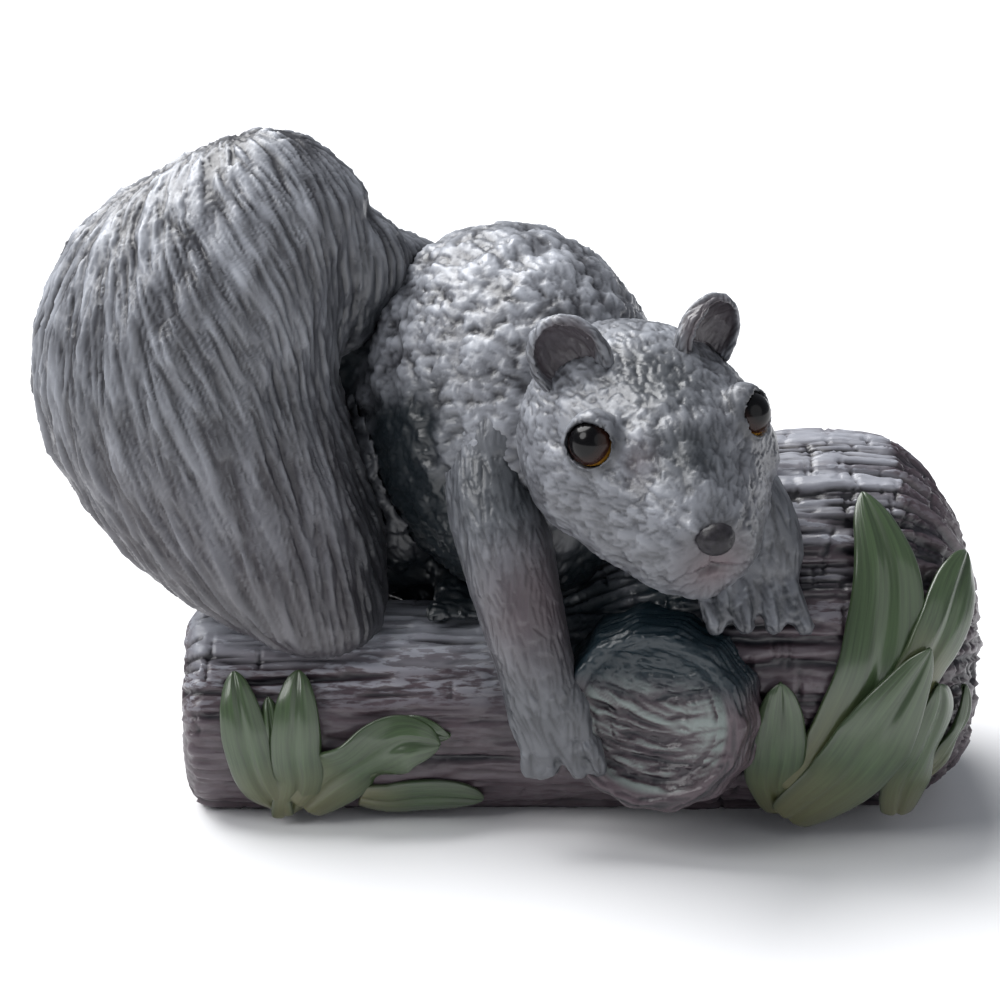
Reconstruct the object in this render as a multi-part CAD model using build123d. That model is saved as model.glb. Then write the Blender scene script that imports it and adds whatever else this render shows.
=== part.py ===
"""A cast and hand-painted squirrel figurine, sprawled over a bark log with leaf sprigs.

Millimetres and degrees. The log lies along X, the squirrel faces -Y and +Z is up. The origin
is on the flat underside of the log, below its axis. "Right" and "left" on the squirrel are its
own right and left: its right side is on the -X half.

Organic castings are lofted in flat facets through rings of points, so every face is plane.
Tables of shares give the rings, as parts of the named size they follow.
"""

from build123d import *
import math
import os

os.makedirs("parts", exist_ok=True)

# Facets: sides of a ring round each kind of body, and rings between two rows of a table.
BODY_SIDES = 24
LIMB_SIDES = 16
BALL_SIDES = 14
BALL_BANDS = 8
TOE_SIDES = 8
TOE_BANDS = 5
TENON_SIDES = 12
RING_STEPS = 2

# Log: a thin limb on the left that swells into a thick trunk on the right.
LOG_LENGTH = 146.0
LIMB_RADIUS = 19.1
TRUNK_RADIUS = 35.6
ORIGIN_SHARE = 0.394
UNDERSIDE_SHARE = 0.12
BARK_GROOVE_DEPTH = 1.6
BARK_PLATES = 27
# Where the crack lies between a plate and the one that laps it, its middle depth, and how far
# one differs from the next.
BARK_CRACK_SHARE = 0.78
BARK_DEPTH_SHARES = (0.75, 0.35)
# Place along the log, swell from limb to trunk, then in trunk radii the height of the underside
# and how far the axis lies forward.
LOG_SHARES = [
    (0.0, -0.20, 0.07, 0.20), (0.018, 0.0, 0.0, 0.20), (0.20, 0.01, 0.0, 0.20), (0.36, 0.0, 0.0, 0.19),
    (0.44, 0.10, 0.0, 0.16), (0.53, 0.46, 0.0, 0.09), (0.62, 0.83, 0.0, 0.03), (0.70, 0.97, 0.0, 0.0),
    (0.80, 1.0, 0.0, 0.0), (0.885, 0.95, 0.012, 0.0), (0.935, 0.69, 0.07, 0.0), (0.969, 0.34, 0.15, 0.0),
    (0.992, -0.13, 0.27, 0.0), (1.0, -0.62, 0.414, 0.0),
]

# Stub: the sawn branch that points forward out of the trunk.
STUB_RADIUS = 17.2
STUB_FLARE = 2.4
STUB_REACH = 8.5
STUB_RIM = 3.6
STUB_DISH = 2.6
STUB_RINGS = 3
STUB_RING_DEPTH = 0.8
STUB_PLATES = 14
STUB_GROOVE_DEPTH = 0.9
STUB_PLACE_SHARE = 0.644
STUB_DROP_SHARE = 0.20
STUB_TURN = 14.5
STUB_TILT = 5.5
# Way from the root to the face, flare, and groove depth.
STUB_BARK_SHARES = [(0.0, 1.0, 1.0), (0.45, 0.7, 1.0), (0.86, 0.0, 1.0)]
STUB_RIM_SHARE = 0.35

# Glued joints: a round tenon on one casting in a socket in the other.
TENON_RADIUS = 3.0
TENON_LENGTH = 9.0
TENON_CLEARANCE = 0.15
STUB_TENON_SHARE = 0.45
BELLY_TENON_SHARE = 0.53

# Torso: hunched, from the rump at the back to the chest at the front.
TORSO_LENGTH = 72.0
TORSO_WIDTH = 58.6
TORSO_HEIGHT = 68.0
TORSO_PLACE_SHARE = 0.405
TORSO_BACK_SHARE = 0.11
BELLY_SINK = 1.0
TUFT_HEIGHT = 1.6
# Middle height of the tufts, and how far one differs from the next.
TUFT_SHARES = (0.7, 0.3)
# Place from rump to chest, sideways and upward shift, half width, half height.
TORSO_SHARES = [
    (-0.49, -0.10, -0.26, 0.30, 0.32), (-0.43, -0.08, -0.20, 0.58, 0.62), (-0.30, -0.04, -0.09, 0.86, 0.88),
    (-0.14, -0.01, -0.02, 0.98, 0.99), (0.02, 0.0, 0.0, 1.0, 1.0), (0.16, 0.07, -0.03, 0.93, 0.94),
    (0.29, 0.13, -0.10, 0.79, 0.82), (0.39, 0.17, -0.17, 0.60, 0.63), (0.455, 0.19, -0.22, 0.34, 0.36),
]
TORSO_ENDS_SHARES = [(-0.51, -0.10, -0.27), (0.475, 0.19, -0.23)]

# Head: turned and bowed; its frame lies midway between the eyes, with Z forward.
HEAD_LENGTH = 54.0
HEAD_WIDTH = 43.5
HEAD_HEIGHT = 32.0
HEAD_YAW = 19.5
HEAD_BOW = 22.0
HEAD_ROLL = 6.0
NECK_SHARES = (0.244, 0.565, 0.49)
NECK_TO_EYES_SHARES = (0.574, 0.25)
# Place behind or before the eyes, upward shift, half width, half height, jowl swell.
HEAD_SHARES = [
    (-0.60, -0.24, 0.46, 0.56, 0.0), (-0.47, -0.26, 0.80, 0.86, 0.02), (-0.32, -0.28, 0.97, 0.99, 0.07),
    (-0.16, -0.29, 1.0, 1.01, 0.11), (-0.01, -0.285, 0.91, 0.97, 0.12), (0.12, -0.295, 0.75, 0.84, 0.13),
    (0.23, -0.32, 0.61, 0.75, 0.13), (0.325, -0.335, 0.49, 0.63, 0.12), (0.39, -0.325, 0.34, 0.46, 0.08),
]
HEAD_ENDS_SHARES = [(-0.64, -0.24), (0.42, -0.32)]

EYE_RADIUS = 4.0
EYE_SPREAD_SHARE = 0.64
EYE_RISE_SHARE = 0.04
EYE_LOOK_OUT = 43.0
EYE_LOOK_UP = 25.0
LID_THICKNESS = 0.8
LID_OPENING_SHARE = 0.94

EAR_WIDTH = 15.0
EAR_HEIGHT = 19.0
EAR_DEPTH = 7.5
EAR_WALL = 1.5
EAR_SHARES = (0.60, 0.18, -0.325)
EAR_SPLAY = 20.0
EAR_LEAN = 22.0
EAR_TURN = 20.0

NOSE_WIDTH = 7.0
NOSE_HEIGHT = 5.8
NOSE_LENGTH = 6.0
NOSE_SHARES = (-0.165, 0.392)

# Forelegs: rows give the way down, outward and sideways bow, half width, half thickness.
FORELEG_WIDTH = 18.0
FORELEG_SHARES = [
    (0.0, 0.0, 0.0, 0.90, 0.92), (0.16, 0.12, -0.10, 1.0, 1.0), (0.32, 0.20, -0.20, 0.98, 0.95),
    (0.50, 0.20, -0.30, 0.88, 0.86), (0.66, 0.16, -0.33, 0.80, 0.76), (0.80, 0.09, -0.28, 0.78, 0.66),
    (0.91, 0.03, -0.14, 0.84, 0.50), (1.0, 0.0, 0.0, 0.76, 0.26),
]
RIGHT_SHOULDER_SHARES = (0.28, -0.34, 0.14)
LEFT_SHOULDER_SHARES = (0.20, 0.86, -0.02)
# How much of the sideways bow each leg has: the right one hangs straight.
RIGHT_BOW_SHARE = 0.0
LEFT_BOW_SHARE = 1.0
# Paw on the stub: angle round the stub and place along it; paw on the trunk: place, height.
RIGHT_PAW_ANGLE = 198.0
RIGHT_PAW_SHARE = 0.95
LEFT_PAW_SHARES = (0.702, 0.745)
PAW_LIFT = 2.4
TOE_COUNT = 4
TOE_WIDTH = 3.8
TOE_LENGTH = 7.6
TOE_FAN = 34.0
TOE_SPREAD_SHARE = 0.72
TOE_TURN = 14.0
FINGER_LENGTH = 13.0

# Hind legs: a haunch on the flank and a foot laid across the log.
HAUNCH_WIDTH = 31.0
HAUNCH_LENGTH = 40.0
HAUNCH_HEIGHT = 53.0
# For the right and the left leg: where the haunch lies in the torso, and the foot on the log.
HIND_LEG_SHARES = [((-0.08, -0.70, -0.42), 0.338), ((-0.10, 0.62, -0.30), 0.625)]
HIND_FOOT_WIDTH = 8.0
HIND_FOOT_HEIGHT = 7.0
HIND_FOOT_HEEL = 118.0
HIND_FOOT_TOE = 80.0
HIND_FOOT_SHARES = [(0.0, 0.86, 1.0), (0.35, 0.94, 1.05), (0.70, 1.0, 0.90), (1.0, 0.88, 0.66)]
ANKLE_SHARE = 0.6
ANKLE_WIDTH_SHARE = 0.67
# Height of the domed end of a limb, as a part of its thickness there.
DOME_SHARE = 0.4

# Tail: a plume whose locks sweep from the crest to the tip, and a root lobe from the rump.
TAIL_HEIGHT = 92.0
TAIL_WIDTH = 62.0
TAIL_DEPTH = 44.0
TAIL_PLACE_SHARE = 0.051
TAIL_TIP_SINK = 5.1
TAIL_LOCKS = 20
TAIL_LOCK_DEPTH = 1.5
TAIL_LOCK_SWEEP = 26.0
# Height, sideways and backward shift, half width, half depth.
TAIL_SHARES = [
    (0.02, 0.57, -0.62, 0.24, 0.24), (0.055, 0.50, -0.54, 0.44, 0.42), (0.115, 0.33, -0.40, 0.645, 0.64),
    (0.185, 0.18, -0.28, 0.78, 0.80), (0.255, 0.055, -0.16, 0.875, 0.90), (0.38, -0.14, -0.04, 0.925, 0.98),
    (0.51, -0.245, 0.04, 0.925, 1.0), (0.62, -0.215, 0.09, 0.925, 0.98), (0.717, -0.13, 0.14, 0.90, 0.92),
    (0.79, -0.03, 0.19, 0.89, 0.82), (0.864, 0.11, 0.23, 0.76, 0.68), (0.93, 0.20, 0.25, 0.50, 0.46),
    (0.975, 0.25, 0.26, 0.27, 0.26),
]
TAIL_ENDS_SHARES = [(0.0, 0.60, -0.66), (1.0, 0.28, 0.26)]
TAIL_ROOT_RADIUS = 16.0
TAIL_ROOT_BOW = 5.5
TAIL_ROOT_START_SHARES = (-0.28, 0.08, 0.17)
TAIL_ROOT_END_SHARE = 0.717
TAIL_ROOT_SHARES = [(0.0, 0.70), (0.25, 0.80), (0.5, 0.86), (0.75, 1.0), (1.0, 1.04)]

# Leaves: plump creased blades on the front of the log.
LEAF_STEPS = 7
LEAF_WIDTH = 13.0
LEAF_THICKNESS = 2.2
LEAF_LIFT = 1.5
LEAF_ARCH_POWER = 1.3
LEAF_WIDTH_SHARES = [0.76, 0.88, 0.97, 1.0, 0.94, 0.77, 0.48, 0.0]
LEAF_PROFILE_SHARES = [
    (1.0, -0.1), (0.62, 0.62), (0.12, 0.62), (0.0, 0.44), (-0.12, 0.62), (-0.62, 0.62), (-1.0, -0.1),
    (-0.5, -0.5), (0.5, -0.5),
]
# Base place and height, tip place and height, width, bow along and up the log, lifts of the ends.
LEAF_SHARES = {
    "left_leaf_outer": (0.112, 0.10, 0.067, 0.80, 0.68, -0.06, 0.0, 0.9, 1.2),
    "left_leaf_tall": (0.140, 0.10, 0.147, 0.80, 0.76, 0.0, 0.0, 1.1, 1.5),
    "left_leaf_small": (0.122, 0.20, 0.109, 0.70, 0.42, 0.0, 0.0, 0.2, 0.3),
    "left_leaf_arched": (0.162, 0.12, 0.336, 0.33, 0.80, 0.0, 0.25, 1.1, 1.6),
    "left_leaf_behind": (0.190, 0.22, 0.348, 0.36, 0.58, 0.0, 0.24, 0.5, 0.7),
    "left_leaf_low": (0.222, 0.13, 0.375, 0.13, 0.46, 0.0, 0.04, 0.8, 0.6),
    "right_leaf_inner": (0.726, 0.11, 0.728, 0.495, 0.84, 0.0, 0.0, 1.4, 1.6),
    "right_leaf_front": (0.768, 0.10, 0.905, 0.60, 1.10, 0.04, 0.0, 2.6, 4.2),
    "right_leaf_tall": (0.775, 0.16, 0.832, 0.915, 1.05, 0.50, 0.0, 1.2, 1.4),
    "right_leaf_upper": (0.872, 0.46, 0.962, 0.88, 0.94, 0.10, 0.0, 1.0, 4.2),
    "right_leaf_outer": (0.866, 0.12, 0.912, 0.535, 0.80, 0.24, 0.0, 2.0, 3.0),
    "right_leaf_behind": (0.915, 0.20, 0.960, 0.54, 0.52, 0.16, 0.0, 1.0, 1.6),
}


def along(a, b, share):
    """The value or place a share of the way from a to b."""
    return a + (b - a) * share


def smooth_rows(rows, steps):
    """The rows of a table, with more between them on a smooth curve through them."""
    last = len(rows) - 1
    out = []
    for i in range(last):
        four = (rows[max(i - 1, 0)], rows[i], rows[i + 1], rows[min(i + 2, last)])
        for step in range(steps):
            u = step / steps
            out.append([smooth_value(values, u) for values in zip(*four)])
    return out + [list(rows[last])]


def smooth_value(values, u):
    """A value between the middle two of four, on a curve through them all."""
    a, b, c, d = values
    return b + 0.5 * u * (c - a + u * (2 * a - 5 * b + 4 * c - d + u * (3 * (b - c) + d - a)))


def facet_body(rings, start, end):
    """A solid in flat triangles through rings of points, closed to a point at each end."""
    faces = []

    def facet(*corners):
        faces.append(Face(Wire.make_polygon(corners, close=True)))

    count = len(rings[0])
    for k in range(count):
        m = (k + 1) % count
        facet(start, rings[0][m], rings[0][k])
        facet(end, rings[-1][k], rings[-1][m])
        for near, far in zip(rings, rings[1:]):
            facet(near[k], near[m], far[m])
            facet(near[k], far[m], far[k])
    return Solid(Shell(faces))


def oval_ring(centre, side, up, half_side, half_up, count, jowl=0.0, turn=0.0):
    """A ring of points on an oval; jowl widens its lower half."""
    ring = []
    for k in range(count):
        angle = 2 * math.pi * k / count + math.radians(turn)
        wide = half_side * (1 - jowl * math.sin(angle))
        ring.append(centre + side * (wide * math.cos(angle)) + up * (half_up * math.sin(angle)))
    return ring


def ball(centre, side, up, halves, count=BALL_SIDES, bands=BALL_BANDS):
    """A faceted ellipsoid: half sizes sideways, up and along side x up."""
    axis = side.cross(up)
    half_side, half_up, half_along = halves
    rings = []
    for band in range(1, bands):
        angle = math.pi * band / bands
        place = centre - axis * (half_along * math.cos(angle))
        rings.append(oval_ring(place, side, up, half_side * math.sin(angle), half_up * math.sin(angle), count))
    return facet_body(rings, centre - axis * half_along, centre + axis * half_along)


def limb(path, halves, up_hint, count=LIMB_SIDES):
    """A body along a path: each ring lies square to the path; the ends are domed."""
    rings = []
    last = len(path) - 1
    for i, (centre, (half_side, half_up)) in enumerate(zip(path, halves)):
        way = (path[min(i + 1, last)] - path[max(i - 1, 0)]).normalized()
        side = up_hint.cross(way).normalized()
        up = way.cross(side)
        rings.append(oval_ring(centre, side, up, half_side, half_up, count))
    first_way = (path[0] - path[1]).normalized()
    last_way = (path[last] - path[last - 1]).normalized()
    start = path[0] + first_way * (halves[0][1] * DOME_SHARE)
    end = path[last] + last_way * (halves[last][1] * DOME_SHARE)
    return facet_body(rings, start, end)


def main_solid(shape):
    """The largest solid of a cut, without crumbs."""
    return max(shape.solids(), key=lambda s: s.volume)


def cut_by(shape, cutters):
    """The shape with all the cutters taken away."""
    for cutter in cutters:
        shape = main_solid(shape - cutter)
    return shape


def joined(shapes):
    """One casting from overlapping shapes."""
    whole = shapes[0]
    for shape in shapes[1:]:
        whole = whole + shape
    return main_solid(whole)


def log_x(place):
    """X of a place along the log, given as a share of its length."""
    return LOG_LENGTH * (place - ORIGIN_SHARE)


def log_row(place):
    """The log at a place along it: radius, height of the underside, and forward shift."""
    for near, far in zip(LOG_SHARES, LOG_SHARES[1:]):
        if place <= far[0]:
            break
    share = min((place - near[0]) / (far[0] - near[0]), 1.0)
    swell, lift, forward = [along(a, b, share) for a, b in zip(near[1:], far[1:])]
    return along(LIMB_RADIUS, TRUNK_RADIUS, swell), TRUNK_RADIUS * lift, TRUNK_RADIUS * forward


def log_top(place):
    """Height of the top of the log at a place along it."""
    radius, lift, _ = log_row(place)
    return lift + radius * (2 - UNDERSIDE_SHARE)


def log_axis(place):
    """A point on the log's axis."""
    radius, lift, forward = log_row(place)
    return Vector(log_x(place), -forward, lift + radius * (1 - UNDERSIDE_SHARE))


def on_bark(place, angle, lift):
    """A point lifted square off the bark; angle 0 is the front of the log and 90 its top."""
    return log_axis(place) + bark_normal(angle) * (log_row(place)[0] + lift)


def bark_normal(angle):
    """The direction square off the bark at an angle round the log."""
    turn = math.radians(angle)
    return Vector(0, -math.cos(turn), math.sin(turn))


def bark_angle(place, height_share):
    """The angle round the front of the log at a share of its height there."""
    rise = (log_top(place) * height_share - log_axis(place).Z) / log_row(place)[0]
    return math.degrees(math.asin(min(max(rise, -1.0), 1.0)))


def bark_outline(depth_share):
    """Corners round a log of radius one: bark plates that lap over a crack, flat below."""
    start = -math.asin(1 - UNDERSIDE_SHARE)
    step = (math.pi - 2 * start) / BARK_PLATES
    corners = []
    for plate in range(BARK_PLATES):
        here = start + step * plate
        middle, spread = BARK_DEPTH_SHARES
        depth = depth_share * (middle + spread * math.sin(plate * plate))
        corners.append((1.0, here))
        corners.append((1 - depth, here + step * BARK_CRACK_SHARE))
    return corners + [(1.0, math.pi - start)]


def make_log():
    """The bark log, with a crack between each two of its plates."""
    rings = []
    outline = bark_outline(BARK_GROOVE_DEPTH / TRUNK_RADIUS)
    for place in [row[0] for row in LOG_SHARES]:
        radius = log_row(place)[0]
        rings.append([on_bark(place, math.degrees(angle), radius * (r - 1)) for r, angle in reversed(outline)])
    return facet_body(rings, log_axis(0.0), log_axis(1.0))


def stub_frame():
    """The stub's frame: origin on the log's axis, Z along the stub, Y up."""
    turn = math.radians(STUB_TURN)
    tilt = math.radians(STUB_TILT)
    way = Vector(-math.sin(turn) * math.cos(tilt), -math.cos(turn) * math.cos(tilt), math.sin(tilt))
    side = Vector(0, 0, 1).cross(way).normalized()
    drop = Vector(0, 0, log_row(STUB_PLACE_SHARE)[0] * STUB_DROP_SHARE)
    return Plane(origin=log_axis(STUB_PLACE_SHARE) - drop, x_dir=side, z_dir=way)


def stub_face_distance():
    """Distance from the log's axis to the sawn face of the stub."""
    return log_row(STUB_PLACE_SHARE)[0] + STUB_REACH


def stub_point(frame, angle, radius, distance):
    """A point on the stub, by the angle round it from its own X."""
    turn = math.radians(angle)
    return frame.from_local_coords(Vector(radius * math.cos(turn), radius * math.sin(turn), distance))


def stub_axis(share):
    """A point on the stub's axis, a share of the way from the log's axis to the face."""
    return stub_frame().from_local_coords(Vector(0, 0, stub_face_distance() * share))


def make_stub():
    """The branch stub: fluted bark, a rim, and a dished face with growth rings."""
    frame = stub_frame()
    face = stub_face_distance()
    root = face / 2
    rows = []
    for way, flare, groove in STUB_BARK_SHARES:
        rows.append((STUB_RADIUS + STUB_FLARE * flare, along(root, face, way), STUB_GROOVE_DEPTH * groove))
    rows.append((STUB_RADIUS - STUB_RIM * STUB_RIM_SHARE, face, STUB_GROOVE_DEPTH / 2))
    rows.append((STUB_RADIUS - STUB_RIM, face - STUB_DISH / 4, 0))
    ring_width = (STUB_RADIUS - STUB_RIM) / (STUB_RINGS + 1)
    for ring in range(STUB_RINGS):
        inner = STUB_RADIUS - STUB_RIM - ring_width * (ring + 0.5)
        bottom = face - STUB_DISH * (ring + 1.5) / (STUB_RINGS + 1)
        rows.append((inner, bottom - STUB_RING_DEPTH, 0))
        rows.append((inner - ring_width / 2, bottom, 0))
    rings = []
    for radius, distance, groove in rows:
        ring = []
        for k in range(2 * STUB_PLATES):
            edge = radius - groove * (k % 2)
            ring.append(stub_point(frame, 180 * k / STUB_PLATES, edge, distance))
        rings.append(ring)
    return facet_body(rings, stub_axis(root / face), stub_axis(1 - STUB_DISH / face))


def torso_row(place):
    """Centre, half width and half height of the torso at a place from rump to chest."""
    rows = TORSO_SHARES
    for low, high in zip(rows, rows[1:]):
        if place <= high[0]:
            break
    share = (place - low[0]) / (high[0] - low[0])
    _, side, rise, wide, tall = [along(a, b, share) for a, b in zip(low, high)]
    return torso_centre(place, side, rise), TORSO_WIDTH / 2 * wide, TORSO_HEIGHT / 2 * tall


def torso_centre(place, side, rise):
    """Centre of a torso ring from its shares."""
    return Vector(
        log_x(TORSO_PLACE_SHARE) + side * TORSO_WIDTH / 2,
        TORSO_LENGTH * (TORSO_BACK_SHARE - place),
        log_top(TORSO_PLACE_SHARE) - BELLY_SINK + TORSO_HEIGHT / 2 * (1 + rise),
    )


def torso_point(place, side_share, up_share):
    """A point of the torso: a place along it, and shares of its half width and half height."""
    centre, half_width, half_height = torso_row(place)
    return centre + Vector(half_width * side_share, 0, half_height * up_share)


def make_torso():
    """The hunched torso, lofted from rump to chest, with a staggered pattern of raised tufts."""
    side = Vector(1, 0, 0)
    up = Vector(0, 0, 1)
    rings = []
    for row, (place, shift, rise, wide, tall) in enumerate(smooth_rows(TORSO_SHARES, RING_STEPS)):
        centre = torso_centre(place, shift, rise)
        ring = oval_ring(centre, side, up, TORSO_WIDTH / 2 * wide, TORSO_HEIGHT / 2 * tall, BODY_SIDES)
        for k in range(row % 2, BODY_SIDES, 2):
            middle, spread = TUFT_SHARES
            dip = TUFT_HEIGHT * (middle + spread * math.sin(k * k + row))
            ring[k] = ring[k] - (ring[k] - centre).normalized() * dip
        rings.append(ring)
    return facet_body(rings, *[torso_centre(*row) for row in TORSO_ENDS_SHARES])


def head_frame():
    """The head's frame: X to the squirrel's left, Y up and Z forward, bowed, turned and rolled."""
    yaw = math.radians(HEAD_YAW)
    bow = math.radians(HEAD_BOW)
    roll = math.radians(HEAD_ROLL)
    forward = Vector(math.sin(yaw) * math.cos(bow), -math.cos(yaw) * math.cos(bow), -math.sin(bow))
    level = Vector(0, 0, 1).cross(forward).normalized()
    side = level * math.cos(roll) + forward.cross(level) * math.sin(roll)
    up = forward.cross(side)
    back, rise = NECK_TO_EYES_SHARES
    eye_line = torso_point(*NECK_SHARES) + forward * (HEAD_LENGTH * back) + up * (HEAD_HEIGHT * rise)
    return Plane(origin=eye_line, x_dir=side, z_dir=forward)


def head_point(side_share, up_share, forward_share):
    """A point of the head, by shares of its half width, height and length."""
    place = Vector(HEAD_WIDTH / 2 * side_share, HEAD_HEIGHT * up_share, HEAD_LENGTH * forward_share)
    return head_frame().from_local_coords(place)


def make_skull():
    """The head casting without its sockets."""
    frame = head_frame()
    rings = []
    for place, rise, wide, tall, jowl in smooth_rows(HEAD_SHARES, RING_STEPS):
        centre = head_point(0, rise, place)
        half_width = HEAD_WIDTH / 2 * wide
        half_height = HEAD_HEIGHT / 2 * tall
        rings.append(oval_ring(centre, frame.x_dir, frame.y_dir, half_width, half_height, BODY_SIDES, jowl))
    return facet_body(rings, *[head_point(0, rise, place) for place, rise in HEAD_ENDS_SHARES])


def eye_axes(hand):
    """Centre, side, up and outward directions of an eye; hand is -1 for its right, +1 for left."""
    frame = head_frame()
    aside = math.radians(EYE_LOOK_OUT)
    rise = math.radians(EYE_LOOK_UP)
    level = frame.z_dir * math.cos(aside) + frame.x_dir * (hand * math.sin(aside))
    out = level * math.cos(rise) + frame.y_dir * math.sin(rise)
    side = frame.y_dir.cross(level)
    return head_point(hand * EYE_SPREAD_SHARE, EYE_RISE_SHARE, 0), side, out.cross(side), out


def make_eye(hand, radius):
    """A glass eye, as a ball of the given radius."""
    centre, side, up, _ = eye_axes(hand)
    return ball(centre, side, up, (radius, radius, radius))


def make_lid_opening(hand):
    """The space before an eye that its lids leave open."""
    centre, side, up, out = eye_axes(hand)
    end = centre + out * (2 * EYE_RADIUS)
    wide = EYE_RADIUS * LID_OPENING_SHARE
    near = oval_ring(centre, side, up, wide, wide * LID_OPENING_SHARE, BALL_SIDES)
    far = oval_ring(end, side, up, wide, wide * LID_OPENING_SHARE, BALL_SIDES)
    return facet_body([near, far], centre, end)


def make_ear(hand):
    """A hollow ear shell, before it is seated on the head."""
    frame = head_frame()
    splay = math.radians(EAR_SPLAY) * hand
    lean = math.radians(EAR_LEAN)
    turn = math.radians(EAR_TURN) * hand
    back_up = frame.y_dir * math.cos(lean) - frame.z_dir * math.sin(lean)
    up = back_up * math.cos(splay) + frame.x_dir * math.sin(splay)
    facing = frame.z_dir * math.cos(turn) + frame.x_dir * math.sin(turn)
    side = up.cross(facing).normalized()
    front = side.cross(up)
    side_share, up_share, forward_share = EAR_SHARES
    centre = head_point(side_share * hand, up_share, forward_share)
    shell = ball(centre, side, up, (EAR_WIDTH / 2, EAR_HEIGHT / 2, EAR_DEPTH / 2))
    hollow_centre = centre + front * (EAR_DEPTH / 2)
    hollow_halves = (EAR_WIDTH / 2 - EAR_WALL, EAR_HEIGHT / 2 - EAR_WALL, EAR_DEPTH - EAR_WALL)
    return main_solid(shell - ball(hollow_centre, side, up, hollow_halves))


def make_nose():
    """The nose pad, before it is seated on the muzzle."""
    frame = head_frame()
    rise, forward = NOSE_SHARES
    halves = (NOSE_WIDTH / 2, NOSE_HEIGHT / 2, NOSE_LENGTH / 2)
    return ball(head_point(0, rise, forward), frame.x_dir, frame.y_dir, halves)


def toes(root, way, out, width, length=TOE_LENGTH):
    """The toes of a paw: slim ovals that fan out from its end."""
    side = way.cross(out).normalized()
    shapes = []
    for k in range(TOE_COUNT):
        share = k / (TOE_COUNT - 1) - 0.5
        turn = math.radians(TOE_FAN * share)
        toe_way = way * math.cos(turn) + side * math.sin(turn)
        toe_side = toe_way.cross(out).normalized()
        centre = root + side * (width * TOE_SPREAD_SHARE * share) + toe_way * (length / 3)
        halves = (TOE_WIDTH / 2, TOE_WIDTH / 2, length / 2)
        shapes.append(ball(centre, toe_side, toe_way.cross(toe_side), halves, TOE_SIDES, TOE_BANDS))
    return shapes


def make_foreleg(shoulder, paw, out, bow_share, toe_way, toe_length):
    """A foreleg from the shoulder to the paw; out faces off the surface that the paw lies on."""
    run = paw - shoulder
    side = run.cross(out).normalized() * bow_share
    path = []
    halves = []
    for share, outward, sideways, wide, thick in smooth_rows(FORELEG_SHARES, RING_STEPS):
        path.append(shoulder + run * share + out * (FORELEG_WIDTH * outward) + side * (FORELEG_WIDTH * sideways))
        halves.append((FORELEG_WIDTH / 2 * wide, FORELEG_WIDTH / 2 * thick))
    leg = limb(path, halves, out)
    paw_width = FORELEG_WIDTH * FORELEG_SHARES[-1][3]
    return joined([leg] + toes(paw, toe_way, out, paw_width, toe_length))


def make_hind_leg(haunch_shares, foot_place):
    """A haunch and the foot below it, laid across the top of the log."""
    haunch_centre = torso_point(*haunch_shares)
    halves = (HAUNCH_WIDTH / 2, HAUNCH_HEIGHT / 2, HAUNCH_LENGTH / 2)
    haunch = ball(haunch_centre, Vector(1, 0, 0), Vector(0, 0, 1), halves, BODY_SIDES)
    path = []
    sizes = []
    for share, wide, tall in smooth_rows(HIND_FOOT_SHARES, RING_STEPS):
        angle = along(HIND_FOOT_HEEL, HIND_FOOT_TOE, share)
        path.append(on_bark(foot_place, angle, HIND_FOOT_HEIGHT / 3))
        sizes.append((HIND_FOOT_WIDTH / 2 * wide, HIND_FOOT_HEIGHT / 2 * tall))
    foot = limb(path, sizes, Vector(0, 0, 1))
    ankle_path = [haunch_centre, along(haunch_centre, path[0], ANKLE_SHARE), path[2]]
    ankle_top = HAUNCH_WIDTH / 2 * ANKLE_WIDTH_SHARE
    ankle_sizes = [(ankle_top, ankle_top), (HIND_FOOT_WIDTH, HIND_FOOT_WIDTH), sizes[0]]
    ankle = limb(ankle_path, ankle_sizes, Vector(1, 0, 0))
    toe_way = (path[-1] - path[-2]).normalized()
    toe_out = bark_normal(HIND_FOOT_TOE)
    return joined([haunch, ankle, foot] + toes(path[-1], toe_way, toe_out, HIND_FOOT_WIDTH))


def tail_centre(height, side, back):
    """Centre of a plume ring from its shares."""
    return Vector(
        log_x(TAIL_PLACE_SHARE) + side * TAIL_WIDTH / 2,
        back * TAIL_WIDTH / 2,
        log_top(TAIL_PLACE_SHARE) - TAIL_TIP_SINK + TAIL_HEIGHT * height,
    )


def tail_root_path():
    """The way of the root lobe, from inside the rump to inside the plume."""
    start = torso_point(*TAIL_ROOT_START_SHARES)
    row = next(row for row in TAIL_SHARES if row[0] == TAIL_ROOT_END_SHARE)
    end = tail_centre(*row[:3])
    path = []
    for share, _ in smooth_rows(TAIL_ROOT_SHARES, RING_STEPS):
        path.append(along(start, end, share) + Vector(0, 0, TAIL_ROOT_BOW * math.sin(math.pi * share)))
    return path


def make_tail():
    """The plume with its locks, and the root lobe that joins it to the rump."""
    rings = []
    for height, side, back, wide, deep in TAIL_SHARES:
        centre = tail_centre(height, side, back)
        ring = []
        for k in range(2 * TAIL_LOCKS):
            turn = math.pi * k / TAIL_LOCKS + math.radians(TAIL_LOCK_SWEEP) * height
            edge = 1 - (k % 2) * TAIL_LOCK_DEPTH / (TAIL_WIDTH / 2)
            half_width = TAIL_WIDTH / 2 * wide * edge
            half_depth = TAIL_DEPTH / 2 * deep * edge
            ring.append(centre + Vector(half_width * math.cos(turn), half_depth * math.sin(turn), 0))
        rings.append(ring)
    plume = facet_body(rings, tail_centre(*TAIL_ENDS_SHARES[0]), tail_centre(*TAIL_ENDS_SHARES[1]))
    radii = [TAIL_ROOT_RADIUS * wide for _, wide in smooth_rows(TAIL_ROOT_SHARES, RING_STEPS)]
    return joined([plume, limb(tail_root_path(), [(r, r) for r in radii], Vector(0, 0, 1))])


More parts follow.
